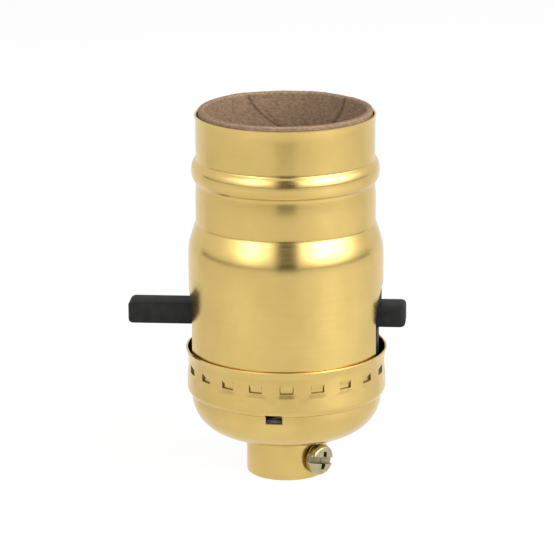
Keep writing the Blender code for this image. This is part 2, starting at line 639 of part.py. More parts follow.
def make_base(phenolic):
    """Lower moulding: closes the switch chamber and carries the terminal screws."""
    base = add_piece("switch_base", rod(MOULDED_R, BASE_Z, BASE_TOP_Z, sides=FINE_SIDES), phenolic)
    above = BASE_TOP_Z + SHEET
    rocker_half = ROCKER_BOSS_WIDTH / 2 + SEAT_GAP
    cuts = {
        "flat_front": box(-CAP_R, CAP_R, -CAP_R, -FLAT_Y, BASE_Z - SHEET, above),
        "flat_back": box(-CAP_R, CAP_R, FLAT_Y, CAP_R, BASE_Z - SHEET, above),
        "chamber": box(-CHAMBER_HALF_X, CHAMBER_HALF_X, -rocker_half, rocker_half,
                       BASE_Z + BASE_FLOOR, above),
        "pin_seat": rod(PIN_R + SEAT_GAP, -PIN_LENGTH / 2 - SEAT_GAP, PIN_LENGTH / 2 + SEAT_GAP, along_y,
                        at=(0, PIN_Z)),
    }
    for name, mesh in cuts.items():
        shape(base, "DIFFERENCE", "base_" + name, mesh)
    for side in (-1, 1):
        body_hole = rod(BODY_SCREW_SHANK_R + SEAT_GAP, BASE_Z - SHEET, above, at=(side * BODY_SCREW_X, 0))
        shape(base, "DIFFERENCE", f"base_screw_hole_{side}", body_hole)
        inner = side * (terminal_screw_y() - TERMINAL_SHANK - SEAT_GAP)
        outer = side * CAP_R
        terminal_hole = rod(TERMINAL_SHANK_R + SEAT_GAP, min(inner, outer), max(inner, outer), along_y,
                            at=(0, BASE_Z + TERMINAL_SCREW_RISE))
        shape(base, "DIFFERENCE", f"base_terminal_hole_{side}", terminal_hole)


def make_push_bar(phenolic):
    """Rectangular bar with chamfered long edges, crowned ends and a notch for the rocker."""
    half_y, half_z = BAR_DEPTH / 2, BAR_H / 2
    c = BAR_CHAMFER
    section = [(half_y, half_z - c), (half_y - c, half_z), (c - half_y, half_z), (-half_y, half_z - c),
               (-half_y, c - half_z), (c - half_y, -half_z), (half_y - c, -half_z), (half_y, c - half_z)]
    half = BAR_LENGTH / 2
    stations = [(half - BAR_END_CURVE * drop, share) for drop, share in BAR_END_SHARES]
    stations += [(-x, share) for x, share in reversed(stations)]
    mesh = bmesh.new()
    rows = [[mesh.verts.new((x, u * share, v * share)) for u, v in section] for x, share in stations]
    for row, following in zip(rows, rows[1:]):
        for i in range(len(row)):
            j = (i + 1) % len(row)
            mesh.faces.new((row[i], following[i], following[j], row[j]))
    mesh.faces.new(rows[0])
    mesh.faces.new(rows[-1][::-1])
    bar = add_piece("push_bar", mesh, phenolic, (BAR_REST_X, 0, BAR_Z))
    notch_x = ROCKER_TIP_R + SEAT_GAP
    notch_y = BAR_DEPTH / 2 - NOTCH_WALL
    notch = box(-notch_x, notch_x, -notch_y, notch_y, -BAR_H, NOTCH_DEPTH - BAR_H / 2)
    shape(bar, "DIFFERENCE", "bar_notch", notch, local=True)


def rocker_outline():
    """The rocker's side view in x and z about its pin: finger up, heel down."""
    carrier_r = BRIDGE_R + SEAT_GAP + CARRIER_WALL
    heel = arc(0, ROCKER_HEEL_R - ROCKER_HEEL, ROCKER_HEEL_R, *HEEL_SPAN_DEG, CURVE_STEPS)
    hub = arc(0, 0, ROCKER_HUB_R, *HUB_SPAN_DEG, CURVE_STEPS)
    carrier = arc(0, CARRIER_ARM, carrier_r, *CARRIER_SPAN_DEG, CURVE_STEPS)
    tip = arc(0, ROCKER_ARM, ROCKER_TIP_R, *TIP_SPAN_DEG, CURVE_STEPS)
    right = heel + hub + carrier + tip
    return right + [(-x, z) for x, z in reversed(right[1:-1])]


def make_rocker(moulding):
    """The switch rocker, tilted to the rest position, and what it carries."""
    half = ROCKER_WIDTH / 2
    rocker = add_piece("switch_rocker", prism(rocker_outline(), -half, half, along_y), moulding,
                       (0, 0, PIN_Z), (0, -ROCKER_TILT, 0))
    boss_half = ROCKER_BOSS_WIDTH / 2
    shape(rocker, "UNION", "rocker_boss", rod(ROCKER_BOSS_R, -boss_half, boss_half, along_y), local=True)
    hole = rod(PIN_R + SEAT_GAP, -BAR_DEPTH, BAR_DEPTH, along_y)
    shape(rocker, "DIFFERENCE", "rocker_pin_hole", hole, local=True)
    seat = rod(BRIDGE_R + SEAT_GAP, -BAR_DEPTH, BAR_DEPTH, along_y, at=(0, CARRIER_ARM))
    shape(rocker, "DIFFERENCE", "rocker_bridge_seat", seat, local=True)
    return rocker


def make_bridge(brass):
    """The moving contact: a round bar across the rocker, just clear of the two fixed tails."""
    reach = CARRIER_ARM
    place = (-reach * math.sin(ROCKER_TILT), 0, PIN_Z + reach * math.cos(ROCKER_TILT))
    half = TAIL_Y - STRIP / 2 - SEAT_GAP
    add_piece("moving_contact", rod(BRIDGE_R, -half, half, along_y), brass, place)


def make_pin(steel):
    half = PIN_LENGTH / 2
    add_piece("rocker_pin", rod(PIN_R, -half, half, along_y), steel, (0, 0, PIN_Z))


def make_spring(steel):
    """A bowed leaf under the rocker's heel, its ends turned up against the chamber's walls."""
    crest_z = PIN_Z - ROCKER_HEEL - SEAT_GAP - SPRING_THICK / 2
    end_x = CHAMBER_HALF_X - SEAT_GAP - SPRING_THICK
    foot_x = end_x - SPRING_END_RUN
    foot_z = crest_z - SPRING_BOW
    shares = [i / CURVE_STEPS for i in range(1, CURVE_STEPS + 1)]
    half = [(foot_x * share, crest_z - SPRING_BOW * share * share) for share in shares]
    half.append((end_x, foot_z + SPRING_END_RISE))
    path = [(-x, z) for x, z in reversed(half)] + [(0, crest_z)] + half
    outline = offset(path, SPRING_THICK / 2) + offset(path, -SPRING_THICK / 2)[::-1]
    add_piece("snap_spring", prism(outline, -SPRING_WIDTH / 2, SPRING_WIDTH / 2, along_y), steel)


def tail_end_z():
    """Lowest point of both fixed tails, just below the moving contact's path."""
    return PIN_Z + CARRIER_ARM * math.cos(ROCKER_TILT) - TAIL_BELOW_BRIDGE


def make_centre_contact(brass):
    """Sprung tongue with a flat crest on the axis, and a tail down into the switch chamber."""
    middle_z = CONTACT_Z - TONGUE_THICK / 2
    flat = TONGUE_FLAT / 2
    wide = (-TONGUE_HALF_WIDTH, TONGUE_HALF_WIDTH)
    tail = (TAIL_LOW_X, TAIL_HIGH_X)
    tip_z = HOUSING_TOP_Z + TONGUE_RISE * TONGUE_TIP_SHARE
    shoulder_z = HOUSING_TOP_Z + TONGUE_RISE * TONGUE_SHOULDER_SHARE
    stations = [(-TONGUE_REACH, tip_z, *wide), (-flat, middle_z, *wide),
                (flat, middle_z, *wide), (TAIL_Y, shoulder_z, *tail), (TAIL_Y, tail_end_z(), *tail)]
    add_piece("centre_contact", bent_strip(stations, TONGUE_THICK), brass)


def terminal_plate_y():
    """Distance of a terminal plate's middle from the axis."""
    return FLAT_Y + SEAT_GAP + STRIP / 2


def terminal_screw_y():
    """Distance of the underside of a terminal screw's head from the axis."""
    return terminal_plate_y() + STRIP / 2 + SEAT_GAP


def drill_terminal(plate, name, side):
    hole = rod(TERMINAL_SHANK_R + SEAT_GAP, terminal_plate_y() - STRIP, terminal_plate_y() + STRIP, along_y,
               at=(0, BASE_Z + TERMINAL_SCREW_RISE))
    for vert in hole.verts:
        vert.co.y *= side
    shape(plate, "DIFFERENCE", name, hole)


def make_neutral_terminal(plated):
    """Plate under the neutral screw, with a strap up the housing and in under the screw shell."""
    y = terminal_plate_y()
    wide = (-TERMINAL_HALF_WIDTH, TERMINAL_HALF_WIDTH)
    strap = (-STRAP_HALF_WIDTH, STRAP_HALF_WIDTH)
    top_z = HOUSING_TOP_Z - STRIP / 2
    stations = [(y, BASE_Z + TERMINAL_FOOT, *wide), (y, BASE_TOP_Z, *wide),
                (y, BASE_TOP_Z + TERMINAL_TAPER, *strap), (y, top_z, *strap),
                (SHELL_FLOOR_HOLE_R + SEAT_GAP, top_z, *strap)]
    plate = add_piece("neutral_terminal", bent_strip(stations, STRIP), plated)
    drill_terminal(plate, "neutral_screw_hole", 1)
    hole = rod(SHELL_SCREW_SHANK_R + SEAT_GAP, HOUSING_TOP_Z - STRIP - SEAT_GAP, HOUSING_TOP_Z + SEAT_GAP,
               at=(0, SHELL_SCREW_Y))
    shape(plate, "DIFFERENCE", "neutral_shell_screw_hole", hole)


def make_hot_terminal(brass):
    """Plate under the hot screw, with a strip through the housing's wall to the fixed tail."""
    y = -terminal_plate_y()
    wide = (-TERMINAL_HALF_WIDTH, TERMINAL_HALF_WIDTH)
    strap = (-STRAP_HALF_WIDTH, STRAP_HALF_WIDTH)
    tail = (TAIL_LOW_X, TAIL_HIGH_X)
    run_z = PIN_Z + HOT_RUN_ABOVE_PIN
    top_z = PIN_Z + CARRIER_ARM + BRIDGE_R
    stations = [(y, BASE_Z + TERMINAL_FOOT, *wide), (y, BASE_TOP_Z, *wide), (y, run_z, *strap),
                (-TAIL_Y, run_z, *tail), (-TAIL_Y, top_z, *tail)]
    plate = add_piece("hot_terminal", bent_strip(stations, STRIP), brass)
    drill_terminal(plate, "hot_screw_hole", -1)


def make_fasteners(brass, steel, nickel):
    """Terminal screws on the flats, shell screws in the screw shell's floor, body screws from below."""
    terminal_z = BASE_Z + TERMINAL_SCREW_RISE
    terminal_head = (TERMINAL_HEAD_R, TERMINAL_HEAD_H)
    terminal_shank = (TERMINAL_SHANK_R, TERMINAL_SHANK)
    y = terminal_screw_y()
    add_screw("hot_screw", brass, (0, -y, terminal_z), (math.pi / 2, 0, 0), terminal_head, terminal_shank,
              (SCREW_SLOT, SCREW_SLOT))
    add_screw("neutral_screw", nickel, (0, y, terminal_z), (math.pi / 2, 0, math.pi), terminal_head,
              terminal_shank, (SCREW_SLOT, SCREW_SLOT))
    shell_z = SHELL_FLOOR_Z + SHEET + SEAT_GAP
    for side, name in ((-1, "front"), (1, "back")):
        add_screw("shell_screw_" + name, steel, (0, side * SHELL_SCREW_Y, shell_z), (0, 0, 0),
                  (SHELL_SCREW_HEAD_R, SHELL_SCREW_HEAD_H), (SHELL_SCREW_SHANK_R, SHELL_SCREW_SHANK),
                  (SCREW_SLOT, SHELL_SCREW_HEAD_H / 2))
    for side, name in ((-1, "left"), (1, "right")):
        add_screw("body_screw_" + name, steel, (side * BODY_SCREW_X, 0, BASE_Z - SEAT_GAP), (math.pi, 0, 0),
                  (BODY_SCREW_HEAD_R, BODY_SCREW_HEAD_H), (BODY_SCREW_SHANK_R, BODY_SCREW_SHANK),
                  (SCREW_SLOT, BODY_SCREW_HEAD_H / 2))


def main():
    for thing in list(bpy.data.objects):
        bpy.data.objects.remove(thing)
    axis = bpy.data.objects.new("socket_axis", None)
    bpy.context.scene.collection.objects.link(axis)
    axis.location = (0, 0, -CONTACT_Z)

    polished_brass = make_material("polished_brass", (0.72, 0.50, 0.17), 0.27, 1.0)
    contact_brass = make_material("contact_brass", (0.70, 0.47, 0.20), 0.35, 1.0)
    phenolic = make_material("black_phenolic", (0.022, 0.022, 0.023), 0.38, 0.0)
    moulding = make_material("rocker_moulding", (0.12, 0.10, 0.08), 0.5, 0.0)
    paper = make_material("liner_paper", (0.27, 0.19, 0.13), 0.9, 0.0)
    fibre = make_material("grey_fibre", (0.16, 0.13, 0.15), 0.85, 0.0)
    aluminium = make_material("aluminium", (0.78, 0.78, 0.76), 0.3, 1.0)
    zinc = make_material("yellow_zinc", (0.62, 0.55, 0.36), 0.3, 1.0)
    nickel = make_material("nickel_plate", (0.66, 0.64, 0.60), 0.25, 1.0)
    steel = make_material("steel", (0.50, 0.50, 0.50), 0.35, 1.0)

    make_outer_shell(polished_brass)
    make_liner(paper)
    make_cap(polished_brass)
    make_cap_liner(fibre)
    make_hub(polished_brass)
    make_set_screw(zinc)
    make_base(phenolic)
    make_housing(phenolic)
    make_screw_shell(aluminium)
    make_centre_contact(contact_brass)
    make_hot_terminal(contact_brass)
    make_neutral_terminal(nickel)
    make_push_bar(phenolic)
    make_rocker(moulding)
    make_bridge(contact_brass)
    make_pin(steel)
    make_spring(steel)
    make_fasteners(contact_brass, steel, nickel)


main()
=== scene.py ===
import math

import bmesh
import bpy
from mathutils import Matrix, Vector, noise


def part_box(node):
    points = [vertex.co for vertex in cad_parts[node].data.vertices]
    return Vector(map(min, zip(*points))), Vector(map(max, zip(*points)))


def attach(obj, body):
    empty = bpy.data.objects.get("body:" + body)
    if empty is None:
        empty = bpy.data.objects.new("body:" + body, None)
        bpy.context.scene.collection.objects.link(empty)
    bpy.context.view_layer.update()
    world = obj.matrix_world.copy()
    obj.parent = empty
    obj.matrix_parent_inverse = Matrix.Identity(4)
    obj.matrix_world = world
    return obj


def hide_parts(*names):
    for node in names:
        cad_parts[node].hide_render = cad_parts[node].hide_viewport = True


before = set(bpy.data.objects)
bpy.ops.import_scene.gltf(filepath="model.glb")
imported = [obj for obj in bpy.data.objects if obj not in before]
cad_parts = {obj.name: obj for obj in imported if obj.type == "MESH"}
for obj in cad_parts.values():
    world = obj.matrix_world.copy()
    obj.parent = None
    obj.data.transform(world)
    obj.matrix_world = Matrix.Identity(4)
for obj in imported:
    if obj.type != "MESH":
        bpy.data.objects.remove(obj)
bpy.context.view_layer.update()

MM = 0.001
HUB_FACE_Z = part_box("threaded_hub")[0].z
MERGE = 1e-7

# Pieces are given in millimetres and degrees. Heights are above the hub's lower face, radii are from
# the axis. The camera's distance, the floor and the lights are in metres.
SHEET = 0.4
LIP_ROUND = 0.35
THROUGH = 20
SHARP = 35
THREAD_RING_DEPTH = 0.22

# Camera
PHOTO = 554
FOCAL_PIXELS = 3056.8
SENSOR = 36.0
CLIP_START = 0.01
CAMERA_AZIMUTH = 4.5
CAMERA_ELEVATION = 15.8
CAMERA_DISTANCE = 0.56
CAMERA_ROLL = -0.33
AIM_HEIGHT = 34.4
AIM_PIXEL = (286.0, 290.0)

# Floor, room, and the glowing sheets and dark cards round the object
FLOOR_SIZE = 3.0
FLOOR_DROP = 0.0002
FLOOR_COLOUR = (0.86, 0.86, 0.85, 1)
FLOOR_ROUGHNESS = 0.9
FLOOR_SPECULAR = 0.1
FLOOR_WHITE_SHARE = 0.85
FLOOR_WHITE_STRENGTH = 1.06
ROOM_LIGHT = 0.15
WHITE = (1, 1, 1, 1)
TENT_RADIUS = 0.75
TENT_ELEVATIONS = (1.5, 66)
TENT_GRID = (40, 12)
TENT_BASE = 1.0
TENT_RISE = [(0.0, 0.02), (0.12, 0.2), (0.35, 1.0), (0.75, 0.4), (1.0, 0.0)]
LEFT_TENT_AZIMUTHS = (CAMERA_AZIMUTH - 115, CAMERA_AZIMUTH - 11)
LEFT_TENT_ACROSS = [(0.0, 0.0), (0.25, 0.02), (0.47, 0.22), (0.68, 1.0), (0.85, 0.35), (1.0, 0.0)]
LEFT_TENT_STRENGTH = 5.4
RIGHT_TENT_AZIMUTHS = (CAMERA_AZIMUTH + 13, CAMERA_AZIMUTH + 115)
RIGHT_TENT_ACROSS = [(0.0, 0.0), (0.13, 0.28), (0.32, 1.0), (0.57, 1.0), (0.78, 0.22), (0.9, 0.06),
                     (1.0, 0.0)]
RIGHT_TENT_STRENGTH = 8.0
SHEEN_RADII = (0.045, 0.32)
SHEEN_AZIMUTHS = (CAMERA_AZIMUTH - 120, CAMERA_AZIMUTH + 120)
SHEEN_GRID = (48, 12)
SHEEN_LIFT = 0.0001
SHEEN_ACROSS = [(0.0, 0.68), (0.11, 0.72), (0.32, 0.82), (0.44, 0.77), (0.5, 0.75), (0.56, 0.77),
                (0.6, 0.83), (0.72, 1.0), (0.83, 0.9), (0.91, 0.81), (1.0, 0.72)]
SHEEN_OUTWARD = [(0.0, 0.88), (0.13, 0.93), (0.3, 1.0), (0.44, 0.98), (0.55, 0.93), (0.71, 0.89),
                 (1.0, 0.87)]
SHEEN_STRENGTH = 1.43
SHEEN_BASE = 0.0
CARD_GRID = (24, 2)
CARD_ROUGHNESS = 0.9
COLUMN_RADIUS = 0.30
COLUMN_AZIMUTHS = (CAMERA_AZIMUTH - 11, CAMERA_AZIMUTH + 13)
COLUMN_ELEVATIONS = (-5.2, 55)
COLUMN_GREY = 0.13
EDGE_RADIUS = 0.60
EDGE_AZIMUTHS = (CAMERA_AZIMUTH - 115, CAMERA_AZIMUTH + 115)
EDGE_ELEVATIONS = (-3.0, 1.0)
EDGE_GREY = 0.02

# Shell. A line of its section holds steps out from the radius it is used with, and heights.
RIM_R = 16.27
BEAD_R = 17.11
NECK_R = 16.39
BODY_R = 17.84
SHELL_LOW = 18.0
SHELL_SIDES = 264
SHELL_SHARP = 50
RIM_LINE = ((0.16, 67.5), (0.04, 66.7), (0.0, 66.0), (0.0, 60.4))
LEDGE_LINE = ((0.0, 60.0), (0.0, 59.5), (0.02, 59.42))
BEAD_START = ((0.34, 59.15),)
BEAD_LINE = ((-0.25, 58.75), (-0.11, 58.3), (-0.03, 57.9), (0.0, 57.5), (0.0, 57.1), (-0.05, 56.6),
             (-0.18, 56.1), (-0.39, 55.65), (-0.61, 55.38))
BEAD_FOOT = ((-0.03, 55.23), (-0.12, 55.05), (-0.14, 54.85))
NECK_LINE = ((-0.14, 54.85), (-0.12, 54.5), (-0.05, 53.5), (0.0, 52.6), (0.02, 51.5), (0.0, 48.2),
             (0.02, 47.7))
SHOULDER_START = ((0.19, 47.2), (0.53, 46.2), (0.88, 45.15), (1.03, 44.65), (1.16, 44.15))
SHOULDER_END = ((-0.185, 43.65), (-0.11, 43.2), (-0.05, 42.6), (-0.01, 41.9), (0.0, 41.2))
BODY_TOP = 41.2
BODY_ROW = 1.2
BODY_ROWS = 13
HEM_LINE = ((0.0, 24.4), (0.0, 23.5), (-0.2, 23.0), (-0.7, 22.4))
SNAP_LINE = ((17.0, 21.9), (16.96, 20.1), (17.3, 19.6), (17.44, 19.1), (17.3, 18.5), (17.0, 18.05))
RIM_STEP = 0.3
BEAD_STEP = 0.13
WALL_STEP = 0.24

# Slots for the bar, and the moulded bosses in them
BAR_HEIGHT = 30.35
SLOT_R = 6.1
ARCH_STEPS = 48
BOSS_LOW = 32.75
BOSS_HIGH = 35.9
BOSS_INSIDE_R = 16.85
BOSS_OUTSIDE_R = 17.52
BOSS_FIT = 0.3
BOSS_ROWS = 8
BOSS_COLUMNS = 12
BOSS_SHARP = 40

# Cap
CAP_R = 18.16
CAP_SKIRT_R = 18.06
CAP_BULGE_R = 18.27
CAP_LIP_LINE = ((0.33, 23.88), (0.17, 23.4), (0.01, 22.8))
CAP_LIP_FOOT = 22.3
CAP_SKIRT_LINE = ((0.0, 19.9), (0.04, 19.3))
CAP_BULGE_LINE = ((-0.03, 17.9), (0.0, 17.3), (0.0, 16.8))
CAP_LIP_STEP = 0.22
CAP_SKIRT_STEP = 0.2
CAP_FILLET_R = 1.5
CAP_FILLET_Z = 16.75
CAP_FILLET_DEG = 50
CAP_FILLET_STEPS = 8
CREASE_DROP = 0.12
DOME_INSET = 0.74
DOME_ROUND = 7.0
DOME_START_DEG = 6
DOME_END_DEG = 75
DOME_STEPS = 30
CONE_R = 7.8
CONE_Z = 7.0
CONE_DEG = 17
CAP_LAND = ((7.85, 7.02), (6.3, 7.0))
CAP_LAND_STEP = 0.5
CAP_SHARP = 32
CATCHES = 20
CATCH_PHASE = 4.5
CATCH_WIDTH = 2.25
CATCH_TOP = 21.75
CATCH_LOW = 20.15
CATCH_DEPTH = 0.36
CATCH_EDGE = 0.12
CATCH_SEAM = 0.03
CATCH_FIT = 0.01
CATCH_COLUMNS = 7
CATCH_ROWS = 8
CATCH_EASE = 1.15
CATCH_SIDE_TOP = 0.3
BETWEEN_COLUMNS = 8
CATCH_BAND = (22.2, 19.5)
CATCH_BAND_TOP = 22.0
CATCH_BAND_LOW = 19.9
LIFT = 0.1
LIFT_LOW = 17.6
LIFT_FADE_UP = 1.0
LIFT_FADE_DOWN = 1.5
SKIRT_INSIDE_R = 15
CAP_SLOT_LOW = 14.4
CAP_SLOT_HIGH = 15.95
CAP_SLOT_HALF = 1.49
CAP_SLOT_SAG = 0.12
CAP_SLOT_STEPS = 8
CAP_SLOT_CORNER = ((0, 0.3), (0.1, 0.08), (0.3, 0))
CAP_SLOT_FIT = 0.02
CAP_SLOT_BELOW = 0.2
CAP_SLOT_TURN = -3.15
CAP_SLOT_DEEP = -16.0

# Hub
HUB_R = 7.4
HUB_EDGE_R = 0.35
HUB_EDGE_STEPS = 8
HUB_BORE_R = 4.7
HUB_MOUTH = ((HUB_BORE_R, 0.35), (4.8, 0.12), (5.02, 0.0))
HUB_NECK = ((HUB_R, 6.5), (HUB_R - 0.03, 6.7), (6.0, 6.7), (6.0, 7.7), (7.4, 7.7), (7.4, 8.5),
            (HUB_BORE_R, 8.5))
HUB_SIDES = 128
HUB_SHARP = 40
HUB_INSIDE_CAP = 7.3
BORE_PITCH = 0.94
BORE_ROWS_PER_PITCH = 6
BORE_LENGTH = 8.0
BORE_TOP = 8.4
SET_HOLE_R = 1.95
SET_HOLE_SIDES = 40
SET_HOLE_REACH = (2.5, 8.0)

# Set screw: heights along its own axis from the underside of its head
SET_SCREW_TURN = 49
SET_SCREW_HEIGHT = 3.75
SET_HEAD_REACH = 7.7
SET_HEAD_R = 2.87
SET_HEAD_H = 2.15
SET_HEAD_LOW = ((2.45, 0.0), (2.75, 0.10), (2.87, 0.35))
SET_HEAD_ROUND = 0.95
SET_HEAD_ROUND_Z = 1.05
SET_HEAD_ROUND_DEG = 62
SET_HEAD_ROUND_STEPS = 10
SET_CROWN_DROP = 0.26
SET_CROWN_R = 2.2
SET_CROWN_RADII = (2.0, 1.6, 1.1, 0.6, 0.0)
SET_SHANK_R = 1.65
SET_SHANK_TIP_R = 1.4
SET_SHANK_END = -2.70
SET_THREAD_START = -2.68
SET_THREAD_ROW = 0.12
SET_THREAD_ROWS = 23
SET_THREAD_PITCH = 0.8
SET_SIDES = 96
SET_SHARP = 30
SET_SLOT_HALF = 0.62
SET_SLOT_LENGTH = 4
SET_SLOT_TILT = -13.7
SET_SLOT_DEEP = 1.2
SET_CUT_TOP = 3
WING_END_HALF = 0.48
WING_LENGTH = 2.15
WING_BELOW_SLOT = 0.06
WING_FLOOR_LENGTH = 0.5
WING_FLOOR_WIDTH = 0.6
SET_STEEP = 0.75
SET_UPRIGHT = 0.9
SET_FACE_FIT = 0.02
SLOT_FLOOR_BAND = 0.5
WING_SHADE_HALF = 0.66
WING_SHADE_END = 2.2
WING_SHADE_LOW = 0.2

# Liner: its section, from the top of its outer side round to its cut edge
LINER_OUTER = ((15.78, 68.25), (15.80, 67.6), (15.76, 66.8), (15.64, 65.0), (15.62, 60.0), (15.62, 45.0),
               (15.62, 37.0), (15.62, 30.0), (15.62, 24.0), (15.62, 19.0))
LINER_BORE_R = 14.62
LINER_BORE_ROWS = (19.0, 30.0, 38.0, 50.0, 60.0, 64.0, 66.0, 67.0, 67.8, 68.2)
LINER_EDGE = ((14.74, 68.38), (15.2, 68.45), (15.62, 68.40))
LINER_TOP = 68.45
LINER_LIMIT = 68.44
LINER_RAGGED_FROM = 67.5
LINER_EDGE_FROM = 68.0
LINER_LOW = 18.0
LINER_SIDES = 220
LINER_SHARP = 60
LINER_MEAN_R = 15
WAVE_SIZE = 3
WAVE_LEVEL = 1.7
FUR_SIZE = 2600
WAVE_OUT, FUR_OUT = 0.04, 0.03
WAVE_UP, FUR_UP, RAGGED_DROP = 0.10, 0.05, 0.03
CREASE_SHADE_WIDTH_DEG = 1.3

# Push bar
BAR_HALF_LENGTH = 25.475
BAR_HALF_DEPTH = 2.85
BAR_HALF_HEIGHT = 1.975
BAR_ROUND = 0.42
BAR_ROUND_STEPS = 4
BAR_CORNERS = ((1, 1, 0), (-1, 1, 90), (-1, -1, 180), (1, -1, 270))
BAR_END_STEPS = 12
BAR_END_CURVE = 1.05
BAR_END_BEND = 0.9
BAR_END_SHARE = 0.30
BAR_END_FULLNESS = 0.35
BAR_SHARP = 40
NOTCH_LENGTH = 2.4
NOTCH_WIDTH = 3.8
NOTCH_TOP = 0.225
NOTCH_LOW = -3

# Screw shell
SHELL_FLOOR = 37.125
THREAD_START = 38.925
THREAD_PITCH = 3.629
THREAD_TURNS = 5.25
THREAD_MEAN_R = 12.9
THREAD_HALF_DEPTH = 0.42
THREAD_RUN_IN = 1.6
THREAD_ROWS_PER_TURN = 16
THREAD_WALL_FROM_R = 12
THREAD_SIDES = 120
THREAD_SHARP = 45
LAMP_LIP = ((1.02, 1.2), (0.9, 0.95), (0.4, 0.5), (0.0, 0.0))
LAMP_LIP_STEP = 0.2
SHELL_CORNER_R = 1.4
SHELL_CORNER_STEPS = 8
SHELL_FLOOR_HOLE_R = 6.4
RIVET_HOLE_R = 1.3
RIVET_HOLE_Y = 8.2
RIVET_HOLE_SIDES = 28
RIVET_HOLE_REACH = (36.5, 38.5)


def up(height):
    """Frame height of a height above the hub's lower face, in metres."""
    return HUB_FACE_Z + height * MM


def ease(share):
    share = min(max(share, 0.0), 1.0)
    return share * share * (3 - 2 * share)


def from_radius(radius, line):
    return [(radius + out, z) for out, z in line]


def arc(centre_r, centre_z, radius, start_deg, end_deg, steps):
    turns = [math.radians(start_deg + (end_deg - start_deg) * i / steps) for i in range(steps + 1)]
    return [(centre_r + radius * math.cos(t), centre_z + radius * math.sin(t)) for t in turns]


def thread_ring(z, pitch):
    """How far a thread's plain rings stand in or out at a place along its axis."""
    return THREAD_RING_DEPTH * abs(math.sin(math.pi * z / pitch))


def smooth_path(points, step, rounds):
    """A path resampled every step and softened at its corners, ends kept."""
    dense = []
    for (r0, z0), (r1, z1) in zip(points, points[1:]):
        count = max(1, round(math.hypot(r1 - r0, z1 - z0) / step))
        dense += [(r0 + (r1 - r0) * i / count, z0 + (z1 - z0) * i / count) for i in range(count)]
    dense.append(points[-1])
    for _ in range(rounds):
        middle = [((a[0] + 2 * b[0] + c[0]) / 4, (a[1] + 2 * b[1] + c[1]) / 4)
                  for a, b, c in zip(dense, dense[1:], dense[2:])]
        dense = [dense[0]] + middle + [dense[-1]]
    return dense


def offset(path, distance):
    """The path moved sideways to the right of the way it runs."""
    ways = []
    for (u0, v0), (u1, v1) in zip(path, path[1:]):
        length = math.hypot(u1 - u0, v1 - v0)
        ways.append(((v1 - v0) / length, (u0 - u1) / length))
    moved = []
    for (u, v), (au, av), (bu, bv) in zip(path, ways[:1] + ways, ways + ways[-1:]):
        mitre = distance / (1 + au * bu + av * bv)
        moved.append((u + (au + bu) * mitre, v + (av + bv) * mitre))
    return moved


def sheet_outline(outer):
    """A closed section of the sheet metal, its upper edge rounded, from its outer side top down."""
    inner = offset(outer, SHEET)[::-1]
    lip_top = ((outer[0][0] + inner[-1][0]) / 2, (outer[0][1] + inner[-1][1]) / 2 + SHEET * LIP_ROUND)
    lip_low = ((outer[-1][0] + inner[0][0]) / 2, (outer[-1][1] + inner[0][1]) / 2)
    return outer + [lip_low] + inner + [lip_top]


def even_angles(sides):
    return [2 * math.pi * i / sides for i in range(sides)]


def circle(radius, sides):
    return [(radius * math.cos(a), radius * math.sin(a)) for a in even_angles(sides)]


def turned(outline, angles):
    """A mesh turned about the axis from a closed outline in millimetres."""
    mesh = bmesh.new()
    rings = [[mesh.verts.new((r * math.cos(a) * MM, r * math.sin(a) * MM, up(z))) for r, z in outline]
             for a in angles]
    for ring, following in zip(rings, rings[1:] + rings[:1]):
        for i, (r, _) in enumerate(outline):
            j = (i + 1) % len(outline)
            if r > 0 or outline[j][0] > 0:
                mesh.faces.new((ring[i], following[i], following[j], ring[j]))
    bmesh.ops.remove_doubles(mesh, verts=mesh.verts, dist=MERGE)
    return mesh


def prism(outline, low, high, place):
    """A mesh of a closed outline pushed from low to high, with place giving each corner."""
    mesh = bmesh.new()
    near = [mesh.verts.new(place(u, v, low)) for u, v in outline]
    far = [mesh.verts.new(place(u, v, high)) for u, v in outline]
    mesh.faces.new(near)
    mesh.faces.new(far[::-1])
    for i in range(len(outline)):
        j = (i + 1) % len(outline)
        mesh.faces.new((near[i], near[j], far[j], far[i]))
    return mesh


def widen(vert, scale):
    """Moves a vertex away from the axis, or towards it where the scale is below 1."""
    vert.co.x *= scale
    vert.co.y *= scale


def make_object(name, mesh, material, sharp_deg=SHARP):
    bmesh.ops.recalc_face_normals(mesh, faces=mesh.faces)
    data = bpy.data.meshes.new(name)
    mesh.to_mesh(data)
    mesh.free()
    piece = bpy.data.objects.new(name, data)
    bpy.context.scene.collection.objects.link(piece)
    if material:
        data.materials.append(material)
    data.shade_smooth()
    data.set_sharp_from_angle(angle=math.radians(sharp_deg))
    return piece


def cut(piece, mesh, sharp_deg):
    """Cuts a solid out of a piece for good."""
    tool = make_object(piece.name + "_tool", mesh, None)
    step = piece.modifiers.new("cut", "BOOLEAN")
    step.operation = "DIFFERENCE"
    step.object = tool
    step.solver = "EXACT"
    bpy.context.view_layer.update()
    result = bpy.data.meshes.new_from_object(piece.evaluated_get(bpy.context.evaluated_depsgraph_get()))
    piece.modifiers.clear()
    piece.data = result
    bpy.data.objects.remove(tool)
    result.shade_smooth()
    result.set_sharp_from_angle(angle=math.radians(sharp_deg))


def dress(piece, body, slot, *nodes):
    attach(piece, body)
    if nodes:
        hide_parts(*nodes)


def shader_of(material):
    return next(n for n in material.node_tree.nodes if n.type == "BSDF_PRINCIPLED")


def new_material(name, roughness, metallic=0.0):
    material = bpy.data.materials.new(name)
    material.use_nodes = True
    shader = shader_of(material)
    shader.inputs["Roughness"].default_value = roughness
    shader.inputs["Metallic"].default_value = metallic
    return material


